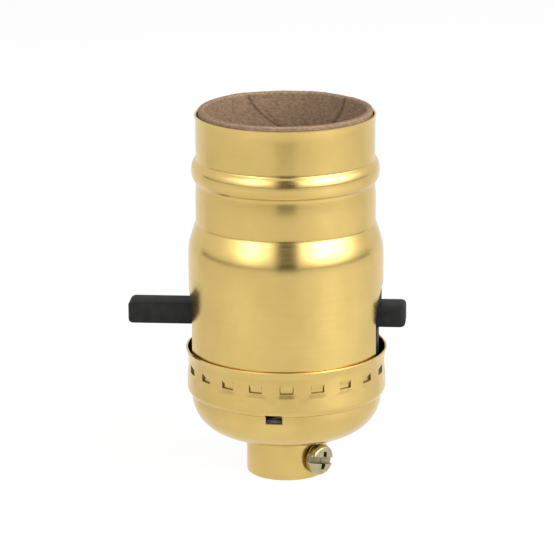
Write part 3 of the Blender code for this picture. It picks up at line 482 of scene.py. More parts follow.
def noise_node(material, scale, detail, rough=0.5, stretch=(1, 1, 1)):
    """Noise in object space, in cells per metre, stretched along the axes."""
    nodes, links = material.node_tree.nodes, material.node_tree.links
    place = nodes.new("ShaderNodeTexCoord")
    mapping = nodes.new("ShaderNodeMapping")
    mapping.inputs["Scale"].default_value = stretch
    texture = nodes.new("ShaderNodeTexNoise")
    texture.inputs["Scale"].default_value = scale
    texture.inputs["Detail"].default_value = detail
    texture.inputs["Roughness"].default_value = rough
    links.new(place.outputs["Object"], mapping.inputs["Vector"])
    links.new(mapping.outputs["Vector"], texture.inputs["Vector"])
    return texture.outputs["Fac"]


def ramp(material, source, stops, target):
    """A colour or value that follows a source from 0 to 1, sent to a socket."""
    nodes, links = material.node_tree.nodes, material.node_tree.links
    node = nodes.new("ShaderNodeValToRGB")
    elements = node.color_ramp.elements
    while len(elements) < len(stops):
        elements.new(0.5)
    for element, (position, colour) in zip(elements, stops):
        element.position = position
        element.color = (*colour, 1.0) if len(colour) == 3 else (colour[0],) * 3 + (1.0,)
    links.new(source, node.inputs["Fac"])
    links.new(node.outputs["Color"], target)
    return node


def add_bump(material, source, distance, strength):
    nodes, links = material.node_tree.nodes, material.node_tree.links
    bump = nodes.new("ShaderNodeBump")
    bump.inputs["Strength"].default_value = strength
    bump.inputs["Distance"].default_value = distance
    links.new(source, bump.inputs["Height"])
    links.new(bump.outputs["Normal"], shader_of(material).inputs["Normal"])


def brass_material(name, low, high, roughness):
    """Drawn and spun brass: faint tone change, fine rings round the axis and a matt grain."""
    material = new_material(name, roughness, metallic=1.0)
    shader = shader_of(material)
    tone = noise_node(material, scale=140, detail=3.0)
    ramp(material, tone, [(0.3, low), (0.7, high)], shader.inputs["Base Color"])
    rings = noise_node(material, scale=90, detail=2.0, stretch=(1, 1, 40))
    ramp(material, rings, [(0.25, (roughness - 0.04,)), (0.75, (roughness + 0.05,))],
         shader.inputs["Roughness"])
    add_bump(material, noise_node(material, scale=5200, detail=2.0), distance=0.000012, strength=0.5)
    return material


def plastic_material(name, dark, light, roughness, specular=None):
    """Moulded plastic with a slight change of tone and gloss, and a fine grain."""
    material = new_material(name, roughness)
    shader = shader_of(material)
    tone = noise_node(material, scale=420, detail=5.0)
    ramp(material, tone, [(0.3, dark), (0.7, light)], shader.inputs["Base Color"])
    gloss = noise_node(material, scale=300, detail=3.0)
    ramp(material, gloss, [(0.3, (roughness - 0.06,)), (0.7, (roughness + 0.06,))],
         shader.inputs["Roughness"])
    add_bump(material, noise_node(material, scale=2600, detail=3.0), distance=0.00003, strength=0.6)
    if specular is not None:
        shader.inputs["Specular IOR Level"].default_value = specular
    return material


def metal_material(name, low, high, roughness):
    """Plain or plated sheet and turned metal, with a slight change of tone and gloss."""
    material = new_material(name, roughness, metallic=1.0)
    shader = shader_of(material)
    tone = noise_node(material, scale=500, detail=4.0)
    ramp(material, tone, [(0.3, low), (0.7, high)], shader.inputs["Base Color"])
    gloss = noise_node(material, scale=260, detail=4.0)
    ramp(material, gloss, [(0.3, (roughness - 0.06,)), (0.7, (roughness + 0.08,))],
         shader.inputs["Roughness"])
    add_bump(material, noise_node(material, scale=2400, detail=3.0), distance=0.00002, strength=0.5)
    return material


def paper_material(name, dark, light):
    """Matt pressed paper with dark and pale fibres."""
    material = new_material(name, roughness=0.92)
    shader = shader_of(material)
    shader.inputs["Specular IOR Level"].default_value = 0.2
    middle = tuple((a + b) / 2 for a, b in zip(dark, light))
    fibres = noise_node(material, scale=1500, detail=6.0, rough=0.7, stretch=(1, 1, 2.5))
    ramp(material, fibres, [(0.32, dark), (0.5, middle), (0.7, light)], shader.inputs["Base Color"])
    grain = noise_node(material, scale=1900, detail=6.0, rough=0.7)
    add_bump(material, grain, distance=0.00012, strength=0.8)
    return material


def paint_crease_shade(material, lines):
    """Paints shade along the folds of a paper tube, darkening its colour along each fold.

    Each line is a start angle, a slant, a bend, a depth to start at and a strength.
    """
    nodes, links = material.node_tree.nodes, material.node_tree.links

    def maths(operation, *values):
        node = nodes.new("ShaderNodeMath")
        node.operation = operation
        for socket, value in zip(node.inputs, values):
            if hasattr(value, "node"):
                links.new(value, socket)
            else:
                socket.default_value = value
        return node.outputs[0]

    place = nodes.new("ShaderNodeTexCoord")
    split = nodes.new("ShaderNodeSeparateXYZ")
    links.new(place.outputs["Object"], split.inputs[0])
    angle = maths("ARCTAN2", split.outputs["Y"], split.outputs["X"])
    below = maths("MULTIPLY", maths("SUBTRACT", up(LINER_TOP), split.outputs["Z"]), 1 / MM)
    light = 1.0
    for start_deg, slant, bend, from_mm, strength in lines:
        turn = maths("MULTIPLY", maths("MULTIPLY_ADD", below, bend, slant), below)
        line = maths("MULTIPLY_ADD", turn, math.radians(1.0), math.radians(start_deg))
        beside = maths("MULTIPLY", maths("SUBTRACT", angle, line), 1 / math.radians(CREASE_SHADE_WIDTH_DEG))
        dip = maths("EXPONENT", maths("MULTIPLY", maths("MULTIPLY", beside, beside), -1.0))
        reached = maths("SUBTRACT", below, from_mm)
        reached.node.use_clamp = True
        light = maths("SUBTRACT", light, maths("MULTIPLY", maths("MULTIPLY", dip, strength), reached))
    shader = shader_of(material)
    before = shader.inputs["Base Color"].links[0].from_socket
    shade = nodes.new("ShaderNodeMix")
    shade.data_type = "RGBA"
    shade.blend_type = "MULTIPLY"
    shade.inputs["Factor"].default_value = 1.0
    # Inputs 6 and 7 and output 2 of a mix node are its two colours and the mixed one.
    links.new(before, shade.inputs[6])
    links.new(light, shade.inputs[7])
    links.new(shade.outputs[2], shader.inputs["Base Color"])


BRASS = brass_material("satin_brass", (0.61, 0.435, 0.145), (0.67, 0.485, 0.17), 0.22)
# Painted shade: a dark brass for cut faces in the cap's catches and slot, and for the hub's flange inside
# the cap.
SHADED_CUT_BRASS = metal_material("cut_brass_painted_shade", (0.12, 0.08, 0.03), (0.22, 0.155, 0.055), 0.5)
# Contact brass: its own duller tone, made darker still as painted shade so the terminals seen through the
# cap's slot stay dim.
SHADED_CONTACT_BRASS = metal_material("contact_brass_painted_shade", (0.48, 0.32, 0.12), (0.58, 0.41, 0.17), 0.36)
PHENOLIC = plastic_material("satin_phenolic", (0.016, 0.016, 0.016), (0.026, 0.026, 0.026), 0.45, 0.02)
MOULDING = plastic_material("dark_moulding", (0.10, 0.085, 0.07), (0.15, 0.13, 0.11), 0.5)
LINER_PAPER = paper_material("liner_paper_fibre", (0.112, 0.067, 0.041), (0.315, 0.212, 0.134))
PAPER_EDGE = paper_material("cut_paper_edge", (0.14, 0.083, 0.05), (0.39, 0.262, 0.165))
FIBRE = paper_material("vulcanised_fibre", (0.13, 0.105, 0.125), (0.22, 0.19, 0.21))
ALUMINIUM = metal_material("drawn_aluminium", (0.72, 0.72, 0.71), (0.84, 0.84, 0.83), 0.3)
ZINC = metal_material("yellow_zinc_plate", (0.38, 0.325, 0.18), (0.51, 0.455, 0.29), 0.26)
# Painted shade for the set screw's head: a dark zinc in the wings and a less dark zinc in the slot.
ZINC_SHADE = metal_material("zinc_recess_painted_shade", (0.085, 0.075, 0.04), (0.18, 0.16, 0.095), 0.45)
ZINC_SLOT_SHADE = metal_material("zinc_slot_painted_shade", (0.20, 0.175, 0.10), (0.38, 0.34, 0.22), 0.4)
NICKEL = metal_material("nickel_plated", (0.62, 0.60, 0.55), (0.74, 0.72, 0.68), 0.24)
STEEL = metal_material("plain_steel", (0.42, 0.42, 0.42), (0.58, 0.58, 0.58), 0.34)

# Painted shade along the liner's folds.
paint_crease_shade(LINER_PAPER, [(122.5, -1.0, -0.38, -1.0, 0.5), (46.3, 0.3, 0.32, -1.0, 0.5),
                          (120.3, -3.43, 0.0, 2.8, 0.3)])

CAD_LOOKS = {
    "switch_base": PHENOLIC, "switch_housing": PHENOLIC, "switch_rocker": MOULDING, "cap_liner": FIBRE,
    "centre_contact": SHADED_CONTACT_BRASS, "hot_terminal": SHADED_CONTACT_BRASS, "moving_contact": SHADED_CONTACT_BRASS,
    "hot_screw": SHADED_CONTACT_BRASS, "neutral_terminal": NICKEL, "neutral_screw": NICKEL, "rocker_pin": STEEL,
    "snap_spring": STEEL, "shell_screw_front": STEEL, "shell_screw_back": STEEL,
    "body_screw_left": STEEL, "body_screw_right": STEEL, "outer_shell": BRASS, "cap": BRASS,
    "threaded_hub": BRASS, "set_screw": ZINC, "push_bar": PHENOLIC, "insulating_liner": LINER_PAPER,
    "screw_shell": ALUMINIUM,
}
for node_name, look in CAD_LOOKS.items():
    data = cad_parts[node_name].data
    data.materials.clear()
    data.materials.append(look)


def arch(radius, low):
    """The outline of a slot for the bar: a round top, and straight sides down to low."""
    turns = [math.pi * i / ARCH_STEPS for i in range(ARCH_STEPS + 1)]
    top = [(radius * math.cos(t), BAR_HEIGHT + radius * math.sin(t)) for t in turns]
    return top + [(-radius, low), (radius, low)]


def through_x(u, v, depth):
    return depth * MM, u * MM, up(v)


def shell_profile():
    """The shell's outer side, from its flared rim to the snap bead inside the cap."""
    rim = from_radius(RIM_R, RIM_LINE)
    ledge = from_radius(RIM_R, LEDGE_LINE)
    bead = from_radius(RIM_R, BEAD_START) + from_radius(BEAD_R, BEAD_LINE) + from_radius(NECK_R, BEAD_FOOT)
    neck = from_radius(NECK_R, NECK_LINE)
    shoulder = from_radius(NECK_R, SHOULDER_START) + from_radius(BODY_R, SHOULDER_END)
    body = [(BODY_R, BODY_TOP - BODY_ROW * i) for i in range(1, BODY_ROWS + 1)]
    hem = from_radius(BODY_R, HEM_LINE) + list(SNAP_LINE)
    return (smooth_path(rim, RIM_STEP, rounds=2) + ledge
            + smooth_path(bead, BEAD_STEP, rounds=1)[:-1] + smooth_path(neck, WALL_STEP, rounds=1)[:-1]
            + smooth_path(neck[-1:] + shoulder, WALL_STEP, rounds=2) + body
            + smooth_path(hem, WALL_STEP, rounds=3))


def make_shell():
    mesh = turned(sheet_outline(shell_profile()), even_angles(SHELL_SIDES))
    shell = make_object("brass_shell", mesh, BRASS, SHELL_SHARP)
    cut(shell, prism(arch(SLOT_R, SHELL_LOW - 1), -THROUGH, THROUGH, through_x), SHELL_SHARP)
    dress(shell, "socket", "polished_brass", "outer_shell")


def cap_profile():
    """The cap's outer side, from its flared rim to the hole for the hub."""
    lip = from_radius(CAP_R, CAP_LIP_LINE) + [(CAP_SKIRT_R, CAP_LIP_FOOT)]
    skirt = from_radius(CAP_SKIRT_R, CAP_SKIRT_LINE) + from_radius(CAP_BULGE_R, CAP_BULGE_LINE)
    fillet = arc(CAP_BULGE_R - CAP_FILLET_R, CAP_FILLET_Z, CAP_FILLET_R, 0, -CAP_FILLET_DEG,
                 CAP_FILLET_STEPS)
    dome_r = CAP_R - DOME_INSET
    fillet_foot = CAP_FILLET_Z - CAP_FILLET_R * math.sin(math.radians(CAP_FILLET_DEG))
    crease = [(dome_r, fillet_foot - CREASE_DROP)]
    centre_r = dome_r - DOME_ROUND * math.cos(math.radians(DOME_START_DEG))
    end_r = centre_r + DOME_ROUND * math.cos(math.radians(DOME_END_DEG))
    end_z = CONE_Z + (end_r - CONE_R) * math.tan(math.radians(CONE_DEG))
    centre_z = end_z + DOME_ROUND * math.sin(math.radians(DOME_END_DEG))
    dome = arc(centre_r, centre_z, DOME_ROUND, -DOME_START_DEG, -DOME_END_DEG, DOME_STEPS)
    return (smooth_path(lip, CAP_LIP_STEP, rounds=1)[:-1]
            + smooth_path(skirt, CAP_SKIRT_STEP, rounds=1)[:-1] + fillet + crease + dome[1:]
            + smooth_path(CAP_LAND, CAP_LAND_STEP, rounds=0))


def catch_angles():
    """Directions round the cap: two close together at each side of a catch, evenly spread between."""
    half = CATCH_WIDTH / 2 / CAP_R
    spacing = 2 * math.pi / CATCHES
    edge = CATCH_EDGE / CAP_R
    on = [-half + 2 * half * i / CATCH_COLUMNS for i in range(CATCH_COLUMNS + 1)]
    off_start, off_end = half + edge, spacing - half - edge
    off = [off_start + (off_end - off_start) * i / BETWEEN_COLUMNS for i in range(BETWEEN_COLUMNS + 1)]
    return [math.radians(CATCH_PHASE) + spacing * k + a for k in range(CATCHES) for a in on + off]


def beside_catch(x, y):
    """The angle from the middle of the nearest catch, signed."""
    spacing = 2 * math.pi / CATCHES
    return (math.atan2(y, x) - math.radians(CATCH_PHASE) + spacing / 2) % spacing - spacing / 2


def press_catches(mesh):
    """Presses the catches in, flush at the top and deepest at a sharp lower edge, and swells the sheet
    just below them."""
    half = CATCH_WIDTH / 2 / CAP_R
    for vert in mesh.verts:
        height = (vert.co.z - up(0)) / MM
        radius = math.hypot(vert.co.x, vert.co.y)
        beside = beside_catch(vert.co.x, vert.co.y)
        if radius <= SKIRT_INSIDE_R * MM:
            continue
        if CATCH_LOW - CATCH_FIT < height < CATCH_TOP:
            if abs(beside) < half + CATCH_SEAM / CAP_R:
                share = (CATCH_TOP - height) / (CATCH_TOP - CATCH_LOW)
                widen(vert, 1 - CATCH_DEPTH * MM * ease(share * CATCH_EASE) / radius)
        elif LIFT_LOW < height < CATCH_LOW:
            lift = (ease((CATCH_LOW - height) / LIFT_FADE_UP) * ease((height - LIFT_LOW) / LIFT_FADE_DOWN)
                    * ease(2 - abs(beside) / half))
            widen(vert, 1 + LIFT * lift * MM / radius)


def paint_shade_on_cuts(cap):
    """Paints shade on the cut faces at the sides and foot of every catch with a dark brass."""
    cap.data.materials.append(SHADED_CUT_BRASS)
    half = CATCH_WIDTH / 2 / CAP_R
    edge = CATCH_EDGE / CAP_R
    pressed_r = (CAP_R - SHEET) * MM - CATCH_DEPTH * MM
    for face in cap.data.polygons:
        x, y, z = face.center
        height = (z - up(0)) / MM
        if math.hypot(x, y) > pressed_r and CATCH_LOW - CATCH_EDGE < height < CATCH_TOP:
            beside = abs(beside_catch(x, y))
            at_side = half - CATCH_FIT / CAP_R < beside < half + edge
            side_wall = at_side and height < CATCH_TOP - CATCH_SIDE_TOP
            foot = height < CATCH_LOW and beside < half + edge
            if side_wall or foot:
                face.material_index = 1


def make_cap():
    outer = cap_profile()
    start, stop = (next(i for i, (_, z) in enumerate(outer) if z < limit) for limit in CATCH_BAND)
    rows = [CATCH_TOP - (CATCH_TOP - CATCH_LOW) * i / CATCH_ROWS for i in range(CATCH_ROWS + 1)]
    rows = [CATCH_BAND_TOP, *rows, CATCH_LOW - CATCH_EDGE, CATCH_BAND_LOW]
    outer[start:stop] = [(CAP_SKIRT_R, z) for z in rows]
    mesh = turned(sheet_outline(outer), catch_angles())
    press_catches(mesh)
    bmesh.ops.triangulate(mesh, faces=mesh.faces)
    cap = make_object("brass_cap", mesh, BRASS, CAP_SHARP)
    paint_shade_on_cuts(cap)

    low, high, half = CAP_SLOT_LOW, CAP_SLOT_HIGH, CAP_SLOT_HALF
    turn = math.radians(CAP_SLOT_TURN)
    bottom = []
    for i in range(CAP_SLOT_STEPS + 1):
        sag = CAP_SLOT_SAG * math.sin(math.pi * i / CAP_SLOT_STEPS)
        bottom.append((-half + 2 * half * i / CAP_SLOT_STEPS, low - sag))
    top = [(half - inset, high - drop) for inset, drop in CAP_SLOT_CORNER] + [(-half, high)]
    slot = prism(bottom + top, -THROUGH, CAP_SLOT_DEEP,
                 lambda u, v, d: ((u * math.cos(turn) - d * math.sin(turn)) * MM,
                                  (u * math.sin(turn) + d * math.cos(turn)) * MM, up(v)))
    cut(cap, slot, CAP_SHARP)
    # Painted shade: the faces cut through the sheet at the slot get the dark brass.
    for face in cap.data.polygons:
        x, y, z = face.center
        beside = (x * math.cos(turn) + y * math.sin(turn)) / MM
        level = low - CAP_SLOT_BELOW < (z - up(0)) / MM < high + CAP_SLOT_FIT
        if y < 0 and abs(beside) < half + CAP_SLOT_FIT and level:
            face.material_index = 1
    dress(cap, "socket", "polished_brass", "cap")


def make_hub():
    """The hub, with plain thread rings in its bore and painted shade, a dark brass, on its flange inside
    the cap.
    """
    edge = arc(HUB_R - HUB_EDGE_R, HUB_EDGE_R, HUB_EDGE_R, -90, 0, HUB_EDGE_STEPS)
    rows = int(BORE_LENGTH / BORE_PITCH * BORE_ROWS_PER_PITCH)
    heights = [BORE_TOP - i * BORE_PITCH / BORE_ROWS_PER_PITCH for i in range(rows)]
    bore = [(HUB_BORE_R + thread_ring(z, BORE_PITCH), z) for z in heights]
    mesh = turned([*HUB_MOUTH, *edge, *HUB_NECK, *bore], even_angles(HUB_SIDES))
    hub = make_object("brass_hub", mesh, BRASS, HUB_SHARP)
    turn = math.radians(SET_SCREW_TURN)
    hole = prism(circle(SET_HOLE_R, SET_HOLE_SIDES), *SET_HOLE_REACH,
                 lambda u, v, d: ((u * math.cos(turn) + d * math.sin(turn)) * MM,
                                  (u * math.sin(turn) - d * math.cos(turn)) * MM, up(SET_SCREW_HEIGHT + v)))
    cut(hub, hole, HUB_SHARP)
    # Painted shade on the flange inside the cap.
    hub.data.materials.append(SHADED_CUT_BRASS)
    for face in hub.data.polygons:
        if face.center.z > up(HUB_INSIDE_CAP):
            face.material_index = 1
    dress(hub, "socket", "polished_brass", "threaded_hub")


def shade_recesses(screw):
    """Paints shade into the head's recesses: a dark zinc on the walls of the wings, a less dark zinc on the
    walls and floor of the slot.
    """
    screw.data.materials.append(ZINC_SHADE)
    screw.data.materials.append(ZINC_SLOT_SHADE)
    slot_floor = SET_HEAD_H - SET_SLOT_DEEP
    for face in screw.data.polygons:
        u, v, depth = (face.center[i] / MM for i in range(3))
        steep = abs(face.normal.z) < SET_STEEP
        in_wing = abs(u) < WING_SHADE_HALF and SET_SLOT_HALF - SET_FACE_FIT < abs(v) < WING_SHADE_END
        slot_wall = abs(abs(v) - SET_SLOT_HALF) < SET_FACE_FIT and abs(face.normal.y) > SET_UPRIGHT
        on_floor = slot_floor - SLOT_FLOOR_BAND < depth < slot_floor + SET_FACE_FIT
        if depth > WING_SHADE_LOW and in_wing and steep:
            face.material_index = 1
        elif slot_wall or (abs(v) < SET_SLOT_HALF and on_floor):
            face.material_index = 2


def make_set_screw():
    """Domed combination head: a slot right across, and a tapered wing at each side of it."""
    head = arc(SET_HEAD_R - SET_HEAD_ROUND, SET_HEAD_ROUND_Z, SET_HEAD_ROUND, 0, SET_HEAD_ROUND_DEG,
               SET_HEAD_ROUND_STEPS)
    crown = [(r, SET_HEAD_H - SET_CROWN_DROP * (r / SET_CROWN_R) ** 2) for r in SET_CROWN_RADII]
    heights = [SET_THREAD_ROW * i + SET_THREAD_START for i in range(SET_THREAD_ROWS)]
    thread = [(SET_SHANK_R - thread_ring(z, SET_THREAD_PITCH), z) for z in heights]
    outline = [(0.0, SET_SHANK_END), (SET_SHANK_TIP_R, SET_SHANK_END), *thread, (SET_SHANK_R, 0.0),
               *SET_HEAD_LOW, *head, *[spot for spot in crown if spot[0] < head[-1][0]]]
    mesh = turned(outline, even_angles(SET_SIDES))
    for vert in mesh.verts:
        vert.co.z -= up(0)
    bmesh.ops.triangulate(mesh, faces=mesh.faces)
    screw = make_object("zinc_set_screw", mesh, ZINC, SET_SHARP)

    def place(u, v, depth):
        return u * MM, v * MM, depth * MM

    long, half, end, tip = SET_SLOT_LENGTH, SET_SLOT_HALF, WING_END_HALF, WING_LENGTH
    slot = [(-long, -half), (long, -half), (long, half), (-long, half)]
    cut(screw, prism(slot, SET_HEAD_H - SET_SLOT_DEEP, SET_CUT_TOP, place), SET_SHARP)
    wing = prism([(-end, -tip), (end, -tip), (half, 0), (end, tip), (-end, tip), (-half, 0)],
                 SET_HEAD_H - SET_SLOT_DEEP - WING_BELOW_SLOT, SET_CUT_TOP, place)
    for vert in wing.verts:
        if vert.co.z < SET_HEAD_H * MM:
            vert.co.y *= WING_FLOOR_LENGTH
            vert.co.x *= WING_FLOOR_WIDTH
    cut(screw, wing, SET_SHARP)
    shade_recesses(screw)
    turn = math.radians(SET_SCREW_TURN)
    screw.data.transform(Matrix.Rotation(math.radians(SET_SLOT_TILT), 4, "Z"))
    screw.rotation_euler = (math.pi / 2, 0, turn)
    screw.location = (SET_HEAD_REACH * math.sin(turn) * MM, -SET_HEAD_REACH * math.cos(turn) * MM,
                      up(SET_SCREW_HEIGHT))
    bpy.context.view_layer.update()
    dress(screw, "set_screw", "yellow_zinc", "set_screw")


def make_liner():
    """The paper tube, its cut edge a little uneven and furred."""
    inner = [(LINER_BORE_R, z) for z in LINER_BORE_ROWS]
    mesh = turned([*LINER_OUTER, *inner, *LINER_EDGE], even_angles(LINER_SIDES))
    for vert in mesh.verts:
        if vert.co.z > up(LINER_RAGGED_FROM):
            angle = math.atan2(vert.co.y, vert.co.x)
            wave_x, wave_y = math.cos(angle) * WAVE_SIZE, math.sin(angle) * WAVE_SIZE
            wave = noise.noise(Vector((wave_x, wave_y, WAVE_LEVEL)))
            fur = noise.noise(Vector(vert.co) * FUR_SIZE)
            widen(vert, 1 + (WAVE_OUT * wave + FUR_OUT * fur) * MM / (LINER_MEAN_R * MM))
            ragged = (WAVE_UP * wave + FUR_UP * fur - RAGGED_DROP) * MM
            vert.co.z = min(vert.co.z + ragged, up(LINER_LIMIT))
    liner = make_object("paper_liner", mesh, LINER_PAPER, LINER_SHARP)
    cut(liner, prism(arch(SLOT_R, LINER_LOW), -THROUGH, THROUGH, through_x), LINER_SHARP)
    liner.data.materials.append(PAPER_EDGE)
    for face in liner.data.polygons:
        if face.center.z > up(LINER_EDGE_FROM):
            face.material_index = 1
    dress(liner, "socket", "liner_paper", "insulating_liner")


def bar_section():
    """The bar's section, its long edges rounded."""
    flat_y, flat_z = BAR_HALF_DEPTH - BAR_ROUND, BAR_HALF_HEIGHT - BAR_ROUND
    section = []
    for side_y, side_z, start in BAR_CORNERS:
        turns = [math.radians(start + 90 * i / BAR_ROUND_STEPS) for i in range(BAR_ROUND_STEPS + 1)]
        section += [(side_y * flat_y + BAR_ROUND * math.cos(t), side_z * flat_z + BAR_ROUND * math.sin(t))
                    for t in turns]
    return section


def bar_stations():
    """Places from the bar's middle to its crowned end, each with the share of the section it keeps."""
    stations = []
    for i in range(BAR_END_STEPS + 1):
        t = math.radians(90 * i / BAR_END_STEPS)
        fullness = (1 - BAR_END_SHARE) * math.cos(t) ** BAR_END_FULLNESS if i < BAR_END_STEPS else 0
        stations.append((BAR_HALF_LENGTH - BAR_END_CURVE * (1 - math.sin(t)) ** BAR_END_BEND,
                         BAR_END_SHARE + fullness))
    return stations


def make_push_bar():
    section, stations = bar_section(), bar_stations()
    low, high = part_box("push_bar")
    centre = (low + high) / 2
    rows = [(-x, s) for x, s in reversed(stations)] + stations
    mesh = bmesh.new()
    rings = [[mesh.verts.new((centre.x + x * MM, centre.y + u * s * MM, centre.z + v * s * MM))
              for u, v in section] for x, s in rows]
    for ring, following in zip(rings, rings[1:]):
        for i in range(len(ring)):
            j = (i + 1) % len(ring)
            mesh.faces.new((ring[i], following[i], following[j], ring[j]))
    mesh.faces.new(rings[0])
    mesh.faces.new(rings[-1][::-1])
    bar = make_object("phenolic_push_bar", mesh, PHENOLIC, BAR_SHARP)
    notch = bmesh.new()
    bmesh.ops.create_cube(notch, size=1)
    for vert in notch.verts:
        height = NOTCH_TOP if vert.co.z > 0 else NOTCH_LOW
        vert.co = (centre.x + vert.co.x * NOTCH_LENGTH * MM, centre.y + vert.co.y * NOTCH_WIDTH * MM,
                   centre.z + height * MM)
    cut(bar, notch, BAR_SHARP)
    dress(bar, "push_bar", "black_phenolic", "push_bar")


def make_slot_bosses():
    """The black moulded boss that fills the arch of each slot above the bar."""
    for side, name in ((0, "right_slot_boss"), (math.pi, "left_slot_boss")):
        mesh = bmesh.new()
        slices = []
        for i in range(BOSS_ROWS + 1):
            z = BOSS_LOW + (BOSS_HIGH - BOSS_LOW) * i / BOSS_ROWS
            half = math.sqrt((SLOT_R - BOSS_FIT) ** 2 - (z - BAR_HEIGHT) ** 2)
            spots = []
            for radius, way in ((BOSS_OUTSIDE_R, 1), (BOSS_INSIDE_R, -1)):
                reach = math.asin(half / radius)
                for j in range(BOSS_COLUMNS + 1):
                    a = side + way * reach * (2 * j / BOSS_COLUMNS - 1)
                    x, y = radius * math.cos(a), radius * math.sin(a)
                    spots.append(mesh.verts.new((x * MM, y * MM, up(z))))
            slices.append(spots)
        for spots, above in zip(slices, slices[1:]):
            for j in range(len(spots)):
                k = (j + 1) % len(spots)
                mesh.faces.new((spots[j], spots[k], above[k], above[j]))
        mesh.faces.new(slices[0][::-1])
        mesh.faces.new(slices[-1])
        dress(make_object(name, mesh, PHENOLIC, BOSS_SHARP), "socket", "black_phenolic")


def make_screw_shell():
    """The rolled screw shell, with the lamp's thread in both faces."""
    low, top = THREAD_START, THREAD_START + THREAD_PITCH * THREAD_TURNS
    wall = THREAD_MEAN_R + SHEET
    lip = [(wall + out, top + rise) for out, rise in LAMP_LIP]
    count = int(THREAD_TURNS * THREAD_ROWS_PER_TURN)
    rows = [(wall, top - (top - low) * i / count) for i in range(1, count + 1)]
    round_r = SHELL_CORNER_R
    corner = arc(wall - round_r, SHELL_FLOOR + round_r, round_r, 0, -90, SHELL_CORNER_STEPS)
    outer = (smooth_path(lip, LAMP_LIP_STEP, rounds=1)[:-1] + [(wall, top)] + rows + corner
             + [(SHELL_FLOOR_HOLE_R, SHELL_FLOOR)])
    mesh = turned(sheet_outline(outer), even_angles(THREAD_SIDES))
    for vert in mesh.verts:
        height = (vert.co.z - up(0)) / MM
        share = min(max(min(height - low, top - height) / THREAD_RUN_IN, 0), 1)
        radius = math.hypot(vert.co.x, vert.co.y) / MM
        if share > 0 and radius > THREAD_WALL_FROM_R:
            turns = 2 * math.pi * (height - low) / THREAD_PITCH
            wave = math.cos(turns - math.atan2(vert.co.y, vert.co.x))
            widen(vert, 1 + THREAD_HALF_DEPTH * ease(share) * wave / radius)
    shell = make_object("threaded_screw_shell", mesh, ALUMINIUM, THREAD_SHARP)
    for y in (-RIVET_HOLE_Y, RIVET_HOLE_Y):
        hole = prism(circle(RIVET_HOLE_R, RIVET_HOLE_SIDES), *RIVET_HOLE_REACH,
                     lambda u, v, d: (u * MM, (y + v) * MM, up(d)))
        cut(shell, hole, THREAD_SHARP)
    dress(shell, "socket", "aluminium", "screw_shell")


def seen_directly(nodes, links):
    """One for camera, glossy and transmission rays, zero for the rays that carry diffuse light."""
    path = nodes.new("ShaderNodeLightPath")
    first = nodes.new("ShaderNodeMath")
    second = nodes.new("ShaderNodeMath")
    first.operation = second.operation = "MAXIMUM"
    links.new(path.outputs["Is Camera Ray"], first.inputs[0])
    links.new(path.outputs["Is Glossy Ray"], first.inputs[1])
    links.new(first.outputs[0], second.inputs[0])
    links.new(path.outputs["Is Transmission Ray"], second.inputs[1])
    return second.outputs[0]


def make_stage():
    """A pale floor that shows white to the camera but keeps the object's shadow."""
    mesh = bmesh.new()
    bmesh.ops.create_grid(mesh, x_segments=1, y_segments=1, size=FLOOR_SIZE)
    for vert in mesh.verts:
        vert.co.z = HUB_FACE_Z - FLOOR_DROP
    material = new_material("pale_floor", FLOOR_ROUGHNESS)
    nodes, links = material.node_tree.nodes, material.node_tree.links
    shader = shader_of(material)
    shader.inputs["Base Color"].default_value = FLOOR_COLOUR
    shader.inputs["Specular IOR Level"].default_value = FLOOR_SPECULAR
    white = nodes.new("ShaderNodeEmission")
    white.inputs["Color"].default_value = WHITE
    white.inputs["Strength"].default_value = FLOOR_WHITE_STRENGTH
    share = nodes.new("ShaderNodeMath")
    share.operation = "MULTIPLY"
    share.inputs[1].default_value = FLOOR_WHITE_SHARE
    mix = nodes.new("ShaderNodeMixShader")
    links.new(seen_directly(nodes, links), share.inputs[0])
    links.new(share.outputs[0], mix.inputs["Fac"])
    links.new(shader.outputs[0], mix.inputs[1])
    links.new(white.outputs[0], mix.inputs[2])
    links.new(mix.outputs[0], nodes["Material Output"].inputs["Surface"])
    floor = make_object("floor", mesh, material)


def make_world():
    """A dim room that camera, glossy and transmission rays see as white."""
    world = bpy.data.worlds.new("studio")
    bpy.context.scene.world = world
    world.use_nodes = True
    nodes, links = world.node_tree.nodes, world.node_tree.links
    nodes.clear()
    output = nodes.new("ShaderNodeOutputWorld")
    seen = nodes.new("ShaderNodeBackground")
    seen.inputs["Color"].default_value = WHITE
    room = nodes.new("ShaderNodeBackground")
    room.inputs["Color"].default_value = WHITE
    room.inputs["Strength"].default_value = ROOM_LIGHT
    mix = nodes.new("ShaderNodeMixShader")
    links.new(seen_directly(nodes, links), mix.inputs["Fac"])
    links.new(room.outputs[0], mix.inputs[1])
    links.new(seen.outputs[0], mix.inputs[2])
    links.new(mix.outputs[0], output.inputs["Surface"])


def direction(azimuth, elevation):
    a, e = math.radians(azimuth), math.radians(elevation)
    return Vector((math.sin(a) * math.cos(e), -math.cos(a) * math.cos(e), math.sin(e)))


def hide_from(piece, *rays):
    for ray in rays:
        setattr(piece, "visible_" + ray, False)


